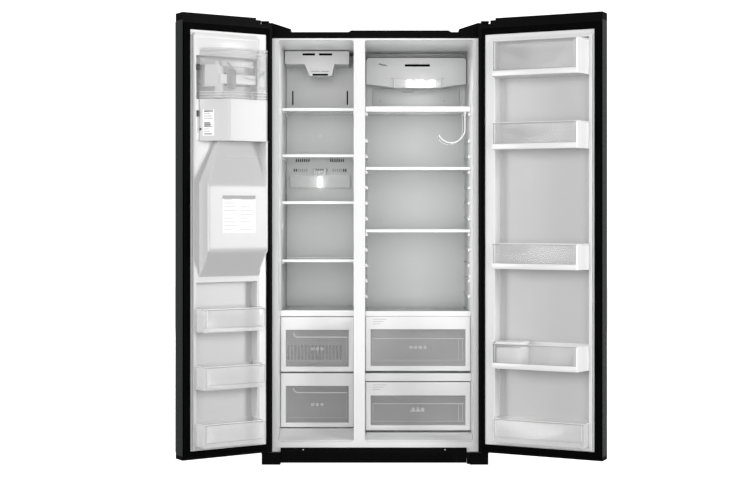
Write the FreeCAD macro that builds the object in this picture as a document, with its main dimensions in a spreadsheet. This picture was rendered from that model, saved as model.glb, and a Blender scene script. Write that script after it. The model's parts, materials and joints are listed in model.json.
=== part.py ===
"""A side by side refrigerator with both doors standing open.

X runs across the front, Y runs back into the cabinet and Z runs up.  The origin is on the floor, midway
between the cabinet's sides, in the plane of the front flange that the doors close against.  Lengths are in
millimetres and angles in degrees.  Each door is drawn shut and then swung about its hinge pins.
"""
import FreeCAD, Part
import math
import os
import Sketcher

doc = FreeCAD.newDocument("SideBySideRefrigerator")
sheet = doc.addObject("Spreadsheet::Sheet", "Sizes")
pieces = {}


# ---------------------------------------------------------------------------------------------------------
# Sizes: each one knows its value and the spreadsheet formula that it comes from
# ---------------------------------------------------------------------------------------------------------
class Size:
    def __init__(self, formula, value):
        self.formula = formula
        self.value = value

    def __add__(self, other):
        return join(self, "+", other, self.value + as_size(other).value)

    def __radd__(self, other):
        return as_size(other) + self

    def __sub__(self, other):
        return join(self, "-", other, self.value - as_size(other).value)

    def __rsub__(self, other):
        return as_size(other) - self

    def __mul__(self, other):
        return join(self, "*", other, self.value * as_size(other).value)

    def __rmul__(self, other):
        return as_size(other) * self

    def __truediv__(self, other):
        return join(self, "/", other, self.value / as_size(other).value)

    def __neg__(self):
        return Size("(-" + self.formula + ")", -self.value)


def as_size(number):
    if isinstance(number, Size):
        return number
    return Size("(%r)" % float(number), float(number))


def join(first, sign, second, value):
    return Size("(%s %s %s)" % (first.formula, sign, as_size(second).formula), value)


def cosine(angle):
    return Size("cos(%s * 1 deg)" % angle.formula, math.cos(math.radians(angle.value)))


def sine(angle):
    return Size("sin(%s * 1 deg)" % angle.formula, math.sin(math.radians(angle.value)))


def named(alias, value):
    """Write one driving size into the sheet under its name."""
    row = len(sizes) + 1
    cell = "A%d" % row
    sheet.set(cell, str(value))
    sheet.setAlias(cell, alias)
    sizes.append(alias)
    return Size("Sizes." + alias, float(value))


def bind(thing, where, size):
    thing.setExpression(where, as_size(size).formula)


def span(first, second):
    """The two ends of a stretch, lower one first."""
    first, second = as_size(first), as_size(second)
    return (first, second) if first.value <= second.value else (second, first)


def about(centre, half):
    """The stretch that reaches half to each side of a centre."""
    return (as_size(centre) - half, as_size(centre) + half)


# ---------------------------------------------------------------------------------------------------------
# Pieces: PartDesign bodies built from blocks, discs and outlines
# ---------------------------------------------------------------------------------------------------------
class Piece:
    TURNS = {"x": FreeCAD.Rotation(FreeCAD.Vector(0, 1, 0), 90),
             "y": FreeCAD.Rotation(FreeCAD.Vector(1, 0, 0), -90),
             "z": FreeCAD.Rotation()}
    PLANES = {"x": "YZ_Plane", "y": "XZ_Plane", "z": "XY_Plane"}

    def __init__(self, name):
        self.name = name
        self.steps = 0
        self.body = doc.addObject("PartDesign::Body", name)
        self.body.Label = name
        pieces[name] = self.body

    def feature(self, kind):
        self.steps += 1
        return self.body.newObject("PartDesign::" + kind, "%s_%s_%d" % (self.name, kind, self.steps))

    def block(self, x, y, z, cut=False):
        """A box between the given ends, added or cut away."""
        box = self.feature("SubtractiveBox" if cut else "AdditiveBox")
        for letter, size, ends in (("x", "Length", x), ("y", "Width", y), ("z", "Height", z)):
            low, high = span(*ends)
            bind(box, size, high - low)
            bind(box, ".Placement.Base." + letter, low)
        return self

    def disc(self, axis, centre, radius, ends, cut=False):
        """A cylinder along an axis; centre gives its other two coordinates in X, Y, Z order."""
        drum = self.feature("SubtractiveCylinder" if cut else "AdditiveCylinder")
        drum.Placement = FreeCAD.Placement(FreeCAD.Vector(), self.TURNS[axis])
        low, high = span(*ends)
        bind(drum, "Radius", radius)
        bind(drum, "Height", high - low)
        across = [letter for letter in "xyz" if letter != axis]
        bind(drum, ".Placement.Base." + axis, low)
        bind(drum, ".Placement.Base." + across[0], centre[0])
        bind(drum, ".Placement.Base." + across[1], centre[1])
        return self

    def outline(self, axis, points, ends, cut=False):
        """A straight-sided outline drawn square to an axis and run between two ends along it."""
        sketch = self.body.newObject("Sketcher::SketchObject", "%s_sketch_%d" % (self.name, self.steps + 1))
        plane = [item for item in self.body.Origin.OriginFeatures if item.Role == self.PLANES[axis]][0]
        sketch.AttachmentSupport = [(plane, "")]
        sketch.MapMode = "FlatFace"
        low, high = span(*ends)
        # The XZ plane faces towards -Y, so there the run starts from the far end.
        bind(sketch, ".AttachmentOffset.Base.z", -high if axis == "y" else low)
        draw_outline(sketch, points)
        run = self.feature("Pocket" if cut else "Pad")
        run.Profile = sketch
        run.Reversed = cut
        bind(run, "Length", high - low)
        return self

    def repeat(self, axis, reach, count):
        """Repeat the last feature along an axis, count times in all, the last one at the given reach."""
        seed = self.body.Tip
        row = self.feature("LinearPattern")
        line = [item for item in self.body.Origin.OriginFeatures if item.Role == axis.upper() + "_Axis"][0]
        row.Originals = [seed]
        row.Direction = (line, [""])
        bind(row, "Length", reach)
        row.Occurrences = count
        self.body.Tip = row
        return self

    def soften(self, kind, size, chosen):
        """Round or bevel the edges that a test picks from the piece as it stands."""
        doc.recompute()
        base = self.body.Tip
        names = ["Edge%d" % (i + 1) for i, edge in enumerate(base.Shape.Edges) if chosen(edge)]
        if not names:
            raise RuntimeError("no edge to soften on " + self.name)
        soft = self.feature(kind)
        soft.Base = (base, names)
        bind(soft, "Radius" if kind == "Fillet" else "Size", size)
        return self

    def round(self, radius, chosen):
        return self.soften("Fillet", radius, chosen)

    def bevel(self, size, chosen):
        return self.soften("Chamfer", size, chosen)


def draw_outline(sketch, points):
    """Draw a closed outline whose every corner is held by its own two sizes."""
    corners = [(as_size(across), as_size(up)) for across, up in points]
    for i, (across, up) in enumerate(corners):
        onward = corners[(i + 1) % len(corners)]
        start = FreeCAD.Vector(across.value, up.value, 0)
        end = FreeCAD.Vector(onward[0].value, onward[1].value, 0)
        sketch.addGeometry(Part.LineSegment(start, end), False)
    for i in range(len(corners)):
        sketch.addConstraint(Sketcher.Constraint("Coincident", i, 2, (i + 1) % len(corners), 1))
    for i, corner in enumerate(corners):
        for way, size in zip(("DistanceX", "DistanceY"), corner):
            place = sketch.addConstraint(Sketcher.Constraint(way, -1, 1, i, 1, size.value))
            bind(sketch, "Constraints[%d]" % place, size)


def straight(axis, x=None, y=None, z=None):
    """A test for straight edges along an axis whose middle lies at one of the given places."""
    wanted = {"x": x, "y": y, "z": z}

    def test(edge):
        if edge.Curve.TypeId != "Part::GeomLine":
            return False
        if abs(abs(getattr(edge.tangentAt(edge.FirstParameter), axis)) - 1) > 1e-6:
            return False
        for letter, places in wanted.items():
            if places is None:
                continue
            middle = getattr(edge.CenterOfMass, letter)
            places = places if isinstance(places, (list, tuple)) else [places]
            if min(abs(middle - as_size(place).value) for place in places) > 0.05:
                return False
        return True
    return test


sizes = []

# ---------------------------------------------------------------------------------------------------------
# Driving dimensions
# ---------------------------------------------------------------------------------------------------------
# cabinet
cabinet_width = named("cabinet_width", 890)
cabinet_depth = named("cabinet_depth", 655)
cabinet_top = named("cabinet_top", 1704)
side_low = named("side_low", 22)
sheet_steel = named("sheet_steel", 1.5)
flange_turn = named("flange_turn", 18)
top_trim = named("top_trim", 25)
sill_low = named("sill_low", 48)
frame_thick = named("frame_thick", 3)
pan_low = named("pan_low", 40)
pan_thick = named("pan_thick", 2)
# compartments
freezer_wall = named("freezer_wall", 63)
fridge_wall = named("fridge_wall", 57)
mullion_centre = named("mullion_centre", -62)
mullion_width = named("mullion_width", 44)
mouth_low = named("mouth_low", 88)
ceiling_gap = named("ceiling_gap", 32)
liner_wall = named("liner_wall", 2.5)
freezer_depth = named("freezer_depth", 590)
fridge_depth = named("fridge_depth", 500)
hump_front = named("hump_front", 400)
hump_top = named("hump_top", 340)
hump_foam = named("hump_foam", 45)
fit = named("fit", 0.3)
side_play = named("side_play", 2)
corner_soft = named("corner_soft", 12)
ledge_reach = named("ledge_reach", 7)
ledge_high = named("ledge_high", 8)
# shelves
shelf_edge = named("shelf_edge", 12)
glass_thick = named("glass_thick", 4)
trim_deep = named("trim_deep", 16)
freezer_shelf_front = named("freezer_shelf_front", 215)
fridge_shelf_front = named("fridge_shelf_front", 145)
duct_panel_front = named("duct_panel_front", 525)
duct_wall = named("duct_wall", 3)
# drawers
freezer_drawer_front = named("freezer_drawer_front", 130)
crisper_front = named("crisper_front", 140)
drawer_face = named("drawer_face", 14)
drawer_wall = named("drawer_wall", 2.5)
drawer_border = named("drawer_border", 20)
runner_gap = named("runner_gap", 12)
# doors
door_gap = named("door_gap", 10)
door_thick = named("door_thick", 64)
door_low = named("door_low", 57)
door_rise = named("door_rise", 43)
door_high = cabinet_top + door_rise
doors_apart = named("doors_apart", 4)
parting_shift = named("parting_shift", 4)
parting = mullion_centre + parting_shift
pivot_inset = named("pivot_inset", 15)
pivot_from_front = named("pivot_from_front", 34)
pivot_back = door_thick - pivot_from_front
pin_radius = named("pin_radius", 5)
pin_play = named("pin_play", 0.1)
top_cap = named("top_cap", 28)
bottom_cap = named("bottom_cap", 15)
gasket_inset = named("gasket_inset", 4)
gasket_hinge_inset = named("gasket_hinge_inset", 15)
gasket_low_inset = named("gasket_low_inset", 11)
liner_inset = named("liner_inset", 29)
liner_low_inset = named("liner_low_inset", 33)
liner_high_inset = named("liner_high_inset", 64)
border_thick = named("border_thick", 3)
dike_high = named("dike_high", 20)
dike_wide = named("dike_wide", 10)
dike_from_hinge = named("dike_from_hinge", 39)
dike_from_free = named("dike_from_free", 8)
dike_from_top = named("dike_from_top", 20)
dike_from_low = named("dike_from_low", 6)
recess_deep = named("recess_deep", 28)
bin_wall = named("bin_wall", 2.5)
freezer_swing = named("freezer_swing", 147)
fridge_swing = named("fridge_swing", 154)
# ice and water, at the freezer door
ice_low = named("ice_low", 1262)
bucket_high = named("bucket_high", 158)
ice_cover_high = named("ice_cover_high", 192)
ice_reach = named("ice_reach", 99)
bulge_reach = named("bulge_reach", 97)
bulge_low = named("bulge_low", 727)
bulge_face_low = named("bulge_face_low", 846)
bulge_face_high = named("bulge_face_high", 1090)
bulge_inset = named("bulge_inset", 12)
overhang = named("overhang", 8)
overhang_lift = named("overhang_lift", 1)
recess_wide = named("recess_wide", 195)
recess_low = named("recess_low", 865)
recess_high = named("recess_high", 1140)
display_high = named("display_high", 180)
flank_rise = named("flank_rise", 10)
recess_back = named("recess_back", 68)
# running gear
roller_radius = named("roller_radius", 25)
foot_radius = named("foot_radius", 20)
inlet_radius = named("inlet_radius", 3.2)

# ---------------------------------------------------------------------------------------------------------
# Places worked out from the driving dimensions
# ---------------------------------------------------------------------------------------------------------
half_width = cabinet_width / 2
freezer_left = freezer_wall - half_width
freezer_right = mullion_centre - mullion_width / 2
fridge_left = mullion_centre + mullion_width / 2
fridge_right = half_width - fridge_wall
freezer_middle = (freezer_left + freezer_right) / 2
fridge_middle = (fridge_left + fridge_right) / 2
mouth_high = cabinet_top - ceiling_gap
back_inside = cabinet_depth - sheet_steel
hump_foam_front = hump_front + liner_wall + hump_foam
hump_foam_low = hump_top - liner_wall - hump_foam
sealing_plane = -door_gap
door_front = sealing_plane - door_thick
pivot_y = sealing_plane - pivot_back
liner_low = door_low + liner_low_inset
liner_high = door_high - liner_high_inset
skin_low = door_low + bottom_cap
skin_high = door_high - top_cap
dike_top = sealing_plane + dike_high
recess_floor = sealing_plane - recess_deep
recess_bottom = liner_low + dike_from_low + dike_wide
recess_ceiling = liner_high - dike_from_top - dike_wide


class Compartment:
    """One insulated compartment: its side walls, its depth and its middle."""

    def __init__(self, left, right, deep):
        self.left = left
        self.right = right
        self.deep = deep
        self.wide = right - left

    def inside(self, gap):
        return (self.left + gap, self.right - gap)


class Door:
    """One door, drawn shut; side is -1 for the left door and 1 for the right one."""

    def __init__(self, name, side, free_edge, swing):
        self.name = name
        self.side = side
        self.swing = swing
        self.hinge_edge = half_width * side
        self.free_edge = free_edge
        self.pivot = self.from_hinge(pivot_inset)
        self.whole = span(self.hinge_edge, self.free_edge)
        self.recess_hinge = liner_inset + dike_from_hinge + dike_wide
        self.recess_free = liner_inset + dike_from_free + dike_wide
        self.recess = self.between(self.recess_hinge, self.recess_free)
        self.centre = (self.from_hinge(self.recess_hinge) + self.from_free(self.recess_free)) / 2
        self.pieces = []

    def from_hinge(self, inset):
        return self.hinge_edge - as_size(inset) * self.side

    def from_free(self, inset):
        return self.free_edge + as_size(inset) * self.side

    def between(self, hinge_inset, free_inset):
        """The stretch of the door's width left by an inset from each edge."""
        return span(self.from_hinge(hinge_inset), self.from_free(free_inset))

    def piece(self, name):
        made = Piece(name)
        self.pieces.append(made.body)
        return made

    def open(self):
        """Swing every piece of the door about the hinge pins."""
        turn = self.swing * self.side
        for body in self.pieces:
            bind(body, ".Placement.Rotation.Angle", turn)
            bind(body, ".Placement.Base.x",
                 self.pivot - self.pivot * cosine(turn) + pivot_y * sine(turn))
            bind(body, ".Placement.Base.y",
                 pivot_y - self.pivot * sine(turn) - pivot_y * cosine(turn))


freezer = Compartment(freezer_left, freezer_right, freezer_depth)
fridge = Compartment(fridge_left, fridge_right, fridge_depth)
freezer_door = Door("freezer", -1, parting - doors_apart / 2, freezer_swing)
fridge_door = Door("fridge", 1, parting + doors_apart / 2, fridge_swing)


# ---------------------------------------------------------------------------------------------------------
# Cabinet
# ---------------------------------------------------------------------------------------------------------
def make_cabinet_shell():
    """Painted steel wrapper: two sides and a top, with flanges turned in at the front."""
    shell = Piece("cabinet_shell")
    shell.block((-half_width, half_width), (0, back_inside), (side_low, cabinet_top))
    shell.block((-half_width + sheet_steel, half_width - sheet_steel), (sheet_steel, cabinet_depth),
                (side_low - 1, cabinet_top - sheet_steel), cut=True)
    shell.block((-half_width + flange_turn, half_width - flange_turn), (-1, sheet_steel),
                (side_low - 1, cabinet_top - top_trim), cut=True)


def make_front_frame():
    """White flange round both mouths, with the mullion between them; the door gaskets close on it."""
    frame = Piece("front_frame")
    frame.block((-half_width + flange_turn, half_width - flange_turn), (0, frame_thick),
                (sill_low, cabinet_top - top_trim))
    for room in (freezer, fridge):
        frame.block(room.inside(0), (-1, frame_thick + 1), (mouth_low, mouth_high), cut=True)
    frame.round(10, straight("y", x=[freezer.left, freezer.right, fridge.left, fridge.right],
                             z=[mouth_low, mouth_high]))


def room_outline(room, gap, back):
    """The plan of a compartment, from just behind the frame to a back wall."""
    return [(room.left - gap, frame_thick), (room.right + gap, frame_thick),
            (room.right + gap, back + gap), (room.left - gap, back + gap)]


def make_liner(name, room, ledges):
    """Moulded inner wall of a compartment: a box open at the front, stepped over the machine room."""
    liner = Piece(name)
    liner.outline("z", room_outline(room, liner_wall, room.deep),
                  (mouth_low - liner_wall, mouth_high + liner_wall))
    liner.block((room.left - liner_wall - 1, room.right + liner_wall + 1),
                (hump_front + liner_wall, room.deep + liner_wall + 1),
                (mouth_low - liner_wall - 1, hump_top - liner_wall), cut=True)
    liner.block(room.inside(0), (0, room.deep), (hump_top, mouth_high), cut=True)
    liner.block(room.inside(0), (0, hump_front), (mouth_low, hump_top + 1), cut=True)
    liner.round(corner_soft, straight("z", x=list(room.inside(0)), y=[hump_front, room.deep]))
    for top, front, back in ledges:
        for ends in ((room.left, room.left + ledge_reach), (room.right - ledge_reach, room.right)):
            liner.block(ends, (front, back), (top - ledge_high, top))


def make_cabinet_foam():
    """Insulation that fills the space between the wrapper and the liners."""
    foam = Piece("cabinet_foam")
    foam.block((-half_width + sheet_steel, half_width - sheet_steel), (frame_thick, back_inside),
               (pan_low + pan_thick, cabinet_top - sheet_steel))
    foam.block((-half_width, half_width), (hump_foam_front, cabinet_depth),
               (pan_low, hump_foam_low), cut=True)
    for room in (freezer, fridge):
        shoulder = (room.left - liner_wall, room.right + liner_wall)
        foam.block(shoulder, (0, room.deep + liner_wall),
                   (hump_top - liner_wall, mouth_high + liner_wall), cut=True)
        foam.block(shoulder, (0, hump_front + liner_wall),
                   (mouth_low - liner_wall, hump_top), cut=True)


def make_base_pan():
    """Steel floor of the cabinet, with a front sill and cheeks that carry the rear rollers."""
    pan = Piece("base_pan")
    inner = half_width - sheet_steel
    pan.block((-inner, inner), (sheet_steel, back_inside), (pan_low, pan_low + pan_thick))
    pan.block((-half_width + flange_turn, half_width - flange_turn), (0, pan_thick), (side_low, sill_low))
    for side in (-1, 1):
        for reach in (-roller_gauge, roller_gauge):
            middle = roller_centre * side + reach
            pan.block(about(middle, 1), about(roller_y, 12), (roller_radius - 9, pan_low))
        pan.block(about(roller_centre * side, 16), about(roller_y, roller_radius + 3),
                  (pan_low - 1, pan_low + pan_thick + 1), cut=True)
    pan.disc("x", (roller_y, roller_radius), axle_radius + pin_play, (-inner, inner), cut=True)


roller_centre = named("roller_centre", 385)
roller_gauge = named("roller_gauge", 18)
roller_y = named("roller_y", 605)
axle_radius = named("axle_radius", 4)
foot_x = named("foot_x", 400)
foot_y = named("foot_y", 40)
block_wide = named("block_wide", 73)
block_reach = named("block_reach", 30)


def make_rear_rollers():
    """Two rollers fixed on one axle under the machine room."""
    rollers = Piece("rear_rollers")
    for side in (-1, 1):
        rollers.disc("x", (roller_y, roller_radius), roller_radius, about(roller_centre * side, 14))
    rollers.disc("x", (roller_y, roller_radius), axle_radius,
                 about(0, roller_centre + roller_gauge + 4))


def make_levelling_feet():
    """Two screw feet under the front of the cabinet floor."""
    feet = Piece("levelling_feet")
    for side in (-1, 1):
        feet.disc("z", (foot_x * side, foot_y), foot_radius, (0, 8))
        feet.disc("z", (foot_x * side, foot_y), 6, (8, pan_low))


def make_base_grille():
    """Black kick plate with an air intake, and a boot at each corner over the lower hinge."""
    grille = Piece("base_grille")
    inner = half_width - block_wide
    grille_top = door_low + gasket_low_inset - 3
    grille.block((-inner, inner - 11), (-8, 0), (6, grille_top))
    grille.block((-inner + 62, inner - 73), (-9, -4), (14, 40), cut=True)
    for row in range(3):
        grille.block((-inner + 62, inner - 73), (-8, -4), (18 + 8 * row, 21 + 8 * row))
    for side in (-1, 1):
        ends = span(half_width * side, (half_width - block_wide) * side)
        hollow = span((half_width - 3) * side, (half_width - block_wide + 3) * side)
        grille.block(ends, (-block_reach, 0), (2, sill_low + 0.7))
        grille.block(hollow, (-block_reach + 3, 1), (1, sill_low - 2.3), cut=True)
        grille.block(about((half_width - pivot_inset) * side, hinge_half + fit), (-6, 1),
                     (20, sill_low + 1), cut=True)
    grille.bevel(2, straight("z", y=-block_reach, x=[-half_width, half_width]))


hinge_half = named("hinge_half", 14)
hinge_plate = named("hinge_plate", 4)


def make_hinges():
    """Steel brackets above and below each door, each with its pin."""
    hinges = Piece("hinges")
    for door in (freezer_door, fridge_door):
        across = about(door.pivot, hinge_half)
        nose = pivot_y - hinge_half
        low_top = sill_low + 1 + hinge_plate
        hinges.block(across, (nose, 0), (sill_low + 1, low_top))
        hinges.block(across, (-hinge_plate, 0), (side_low + 3, low_top))
        hinges.disc("z", (door.pivot, pivot_y), pin_radius, (low_top, low_top + 17))
        high_low = pocket_top + 2
        under_cover = span(door.from_hinge(cover_thick + fit), door.pivot - hinge_half * door.side)
        hinges.block(across, (nose, 4), (high_low, high_low + hinge_plate))
        hinges.block(under_cover, (3, 60), (high_low, high_low + hinge_plate))
        hinges.block(under_cover, (8, 60), (cabinet_top, high_low + hinge_plate))
        hinges.disc("z", (door.pivot, pivot_y), pin_radius, (high_low - 18, high_low))


pocket_drop = named("pocket_drop", 21)
pocket_top = door_high - pocket_drop
pocket_wide = named("pocket_wide", 50)
notch_wide = named("notch_wide", 71)
notch_drop = named("notch_drop", 8)
cover_thick = named("cover_thick", 2.5)


def make_top_covers():
    """Covers on the cabinet's top: one over each upper hinge and a low one over the wiring."""
    covers = Piece("top_covers")
    crown = door_high - notch_drop + 1
    plate_top = pocket_top + 2 + hinge_plate
    for door in (freezer_door, fridge_door):
        side = door.side
        foot_edge = (half_width - 114) * side
        shoulder = (half_width - 40) * side
        wall = [(half_width * side, cabinet_top), (half_width * side, crown), (shoulder, crown),
                (foot_edge, cabinet_top + 12), (foot_edge, cabinet_top)]
        covers.outline("y", wall, (2, 110))
        hollow = [((half_width - cover_thick) * side, cabinet_top - 1),
                  ((half_width - cover_thick) * side, crown - cover_thick),
                  (shoulder, crown - cover_thick),
                  (foot_edge + cover_thick * side, cabinet_top + 12 - cover_thick),
                  (foot_edge + cover_thick * side, cabinet_top - 1)]
        covers.outline("y", hollow, (2 + cover_thick, 110 - cover_thick), cut=True)
        covers.block(about(door.pivot, hinge_half + fit), (0, 5), (cabinet_top - 1, plate_top + fit),
                     cut=True)
        covers.block(about(door.pivot, hinge_half + 1), (pivot_y - hinge_half - 2, 3),
                     (plate_top + fit, crown))
    ridge = cabinet_top + 9
    covers.outline("y", [(-108, cabinet_top), (305, cabinet_top), (292, ridge), (-95, ridge)], (20, 200))


def make_rear_panels():
    """Flat steel back, and the slotted cover over the machine room below it."""
    panels = Piece("rear_panels")
    panels.block((-half_width, half_width), (back_inside, cabinet_depth),
                 (hump_foam_low + fit, cabinet_top))
    panels.block((-half_width, half_width), (back_inside, cabinet_depth),
                 (pan_low + pan_thick + fit, hump_foam_low))
    panels.block((-300, -180), (back_inside - 1, cabinet_depth + 1), (90, 94), cut=True)
    panels.repeat("z", 132, 12)
    panels.block((60, 180), (back_inside - 1, cabinet_depth + 1), (90, 94), cut=True)
    panels.repeat("z", 132, 12)
    panels.disc("y", (valve_x, valve_z), 11, (back_inside - 1, cabinet_depth + 1), cut=True)


valve_x = named("valve_x", -390)
valve_z = named("valve_z", 200)


def make_water_valve():
    """Solenoid valve behind the rear cover, with the socket for the house's water tube."""
    valve = Piece("water_valve")
    valve.block(about(valve_x, 22), (back_inside - 38, back_inside - 4), about(valve_z, 20))
    valve.block(about(valve_x, 30), (back_inside - 4, back_inside), about(valve_z, 24))
    valve.disc("z", (valve_x, back_inside - 21), 13, (valve_z + 20, valve_z + 48))
    valve.disc("y", (valve_x, valve_z), 10, (back_inside - 1, cabinet_depth + 13))
    valve.disc("y", (valve_x, valve_z), inlet_radius, (cabinet_depth - 9, cabinet_depth + 14), cut=True)


def make_compressor():
    """Hermetic compressor standing on the cabinet floor."""
    compressor = Piece("compressor")
    floor = pan_low + pan_thick
    centre = (250, 550)
    compressor.disc("z", centre, 72, (floor + 14, floor + 178))
    compressor.round(30, lambda edge: edge.Curve.TypeId == "Part::GeomCircle")
    compressor.block(about(250, 88), about(550, 40), (floor + 8, floor + 26))
    for side in (-1, 1):
        for way in (-1, 1):
            compressor.disc("z", (250 + 78 * side, 550 + 30 * way), 7, (floor, floor + 8))
    compressor.block((318, 336), about(550, 22), (floor + 60, floor + 120))


# ---------------------------------------------------------------------------------------------------------
# Inside the freezer
# ---------------------------------------------------------------------------------------------------------
grille_low = named("grille_low", 359)
grille_high = named("grille_high", 422)
lamp_x = named("lamp_x", -237)
lamp_low = named("lamp_low", 1098)
lamp_high = named("lamp_high", 1152)
hood_front = named("hood_front", 355)
hood_low = named("hood_low", 1614)
fan_z = named("fan_z", 1480)
fan_radius = named("fan_radius", 62)


def make_freezer_duct_panel():
    """Back panel of the freezer: it hides the evaporator and carries the air slots and the ice duct."""
    panel = Piece("freezer_duct_panel")
    face = duct_panel_front
    back = face + duct_wall
    panel.block(freezer.inside(1), (face, back), (hump_top, mouth_high - 4))
    through = (face - 1, back + 1)
    panel.block((-377, -369), through, (grille_low, grille_high), cut=True)
    panel.repeat("x", 15 * 15, 16)
    for start in (-341, -193):
        panel.block((start, start + 5), through, (1210, 1222), cut=True)
        panel.repeat("x", 9 * 6, 7)
    for start in (-350, -263, -182):
        panel.block((start, start + 5), through, (1168, 1181), cut=True)
        panel.repeat("x", 9 * 6, 7)
    for x in (-354, -119):
        panel.block(about(x, 3), through, (1456, 1516), cut=True)
    # ice duct: a hood under the ceiling that narrows to an outlet
    panel.block((-378, -109), (hood_front, face + 1), (hood_low, mouth_high - 4))
    panel.outline("y", [(-296, hood_low + 1), (-170, hood_low + 1), (-181, hood_low - 50), (-274, hood_low - 50)],
                  (hood_front, hood_front + 70))
    panel.block((-375, -112), (hood_front + 3, face + 2), (hood_low + 3, mouth_high - 7), cut=True)
    panel.outline("y", [(-292, hood_low + 4), (-174, hood_low + 4), (-185, hood_low - 51), (-270, hood_low - 51)],
                  (hood_front + 3, hood_front + 67), cut=True)
    for start, end in ((-304, -251), (-235, -179)):
        panel.block((start, end), (hood_front - 1, hood_front + 4), (1650, 1659), cut=True)
    for start, end in ((-268, -232), (-226, -192)):
        panel.block((start, end), (hood_front - 1, hood_front + 4), (1581, 1585), cut=True)
    panel.disc("y", (freezer_middle, fan_z), 40, (back - 1, back + 16))
    panel.disc("y", (freezer_middle, fan_z), 4 + pin_play, (back + 1, back + 17), cut=True)


def make_evaporator():
    """Finned coil behind the freezer's back panel."""
    coil = Piece("evaporator")
    front = duct_panel_front + duct_wall + 5
    back = freezer_depth - 2
    coil.block((freezer_left + 14, freezer_left + 15.5), (front, back), (700, 1150))
    coil.repeat("x", freezer.wide - 30, 16)
    for row in range(8):
        coil.disc("x", ((front + back) / 2, 728 + row * 56), 5, (freezer_left + 6, freezer_right - 6))
    for way in (-1, 1):
        coil.block(about(freezer_middle + (freezer.wide / 2 - corner_soft - 4) * way, 3), (front, freezer_depth),
                   (690, 1160))


def make_evaporator_fan():
    """Fan behind the freezer's back panel: a hub with five blades, drawn about its own axis."""
    fan = Piece("evaporator_fan")
    near = duct_panel_front + duct_wall + 18
    fan.disc("y", (0, 0), 15, (near, near + 20))
    fan.disc("y", (0, 0), 4, (near - 14, near + 1))
    fan.outline("y", [(10, -6), (fan_radius, -20), (fan_radius, 8), (10, 6)], (near + 7, near + 9))
    blade = fan.body.Tip
    turn = fan.feature("PolarPattern")
    axis = [item for item in fan.body.Origin.OriginFeatures if item.Role == "Y_Axis"][0]
    turn.Originals = [blade]
    turn.Axis = (axis, [""])
    turn.Angle = 360
    turn.Occurrences = 5
    fan.body.Tip = turn
    bind(fan.body, ".Placement.Base.x", freezer_middle)
    bind(fan.body, ".Placement.Base.z", fan_z)


def make_lamps():
    """Clear covers over the lamps of both compartments, and the bulbs behind them."""
    covers = Piece("lamp_covers")
    covers.block((lamp_x - 128, lamp_x + 130), (duct_panel_front - 26, duct_panel_front), (lamp_low, lamp_high))
    covers.block((lamp_x - 126, lamp_x + 128), (duct_panel_front - 24, duct_panel_front + 1),
                 (lamp_low + 2, lamp_high + 1), cut=True)
    covers.block((79, 279), (housing_front - 14, housing_front), (1518, 1554))
    covers.block((81, 277), (housing_front - 12, housing_front + 1), (1520, 1552), cut=True)
    bulbs = Piece("lamp_bulbs")
    bulb_y = duct_panel_front - 13
    bulbs.disc("z", (lamp_x, bulb_y), 9, (lamp_low + 8, lamp_high - 6))
    bulbs.disc("z", (lamp_x, bulb_y), 5, (lamp_high - 6, lamp_high + 10))
    bulbs.block(about(lamp_x, 5), (bulb_y, duct_panel_front), (lamp_low + 8, lamp_low + 20))
    for x in (145, 190, 237):
        bulbs.disc("y", (x, 1538), 8, (housing_front - 9, housing_front))


# ---------------------------------------------------------------------------------------------------------
# Inside the fridge
# ---------------------------------------------------------------------------------------------------------
housing_front = named("housing_front", 400)
housing_low = named("housing_low", 1516)
housing_high = named("housing_high", 1646)


def make_fridge_duct_housing():
    """Air duct and lamp housing across the top of the fridge's back wall."""
    housing = Piece("fridge_duct_housing")
    left, right = fridge.inside(2)
    front = [(left, housing_low + 18), ((left + fridge_middle) / 2, housing_low + 5),
             (fridge_middle, housing_low), ((right + fridge_middle) / 2, housing_low + 5),
             (right, housing_low + 18), (right, housing_high), (left, housing_high)]
    housing.outline("y", front, (housing_front, fridge_depth))
    housing.round(corner_soft + 4, straight("y", x=[left, right], z=housing_high))
    for ends in ((left - 1, left + corner_soft), (right - corner_soft, right + 1)):
        housing.block(ends, (fridge_depth - corner_soft / 2, fridge_depth + 1),
                      (housing_low, housing_high + 1), cut=True)
    housing.block((left + 4, right - 4), (housing_front + 4, fridge_depth + 1),
                  (housing_low + 22, housing_high - 16), cut=True)
    housing.block((126, 232), (housing_front - 1, housing_front + 5), (1608, 1618), cut=True)
    housing.outline("y", [(14, 1616), (48, 1609), (50, 1615), (16, 1623)], (housing_front - 1, housing_front + 3),
                    cut=True)


# ---------------------------------------------------------------------------------------------------------
# Shelves, covers and drawers
# ---------------------------------------------------------------------------------------------------------
def make_shelf(name, room, front, back, low, edge):
    """A pane with a deep trim along its front and a shallow one along its back."""
    shelf = Piece(name)
    wide = room.inside(side_play)
    pane_low = low + (edge - glass_thick) / 2
    shelf.block(wide, (front, back), (pane_low, pane_low + glass_thick))
    shelf.block(wide, (front, front + trim_deep), (low, low + edge))
    shelf.block(wide, (back - trim_deep / 2, back), (pane_low, low + edge))
    for ends in ((wide[0], wide[0] + 8), (wide[1] - 8, wide[1])):
        shelf.block(ends, (front, back), (low, pane_low + glass_thick))
    shelf.round(3, straight("x", y=front, z=[low, low + edge]))
    return shelf


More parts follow.
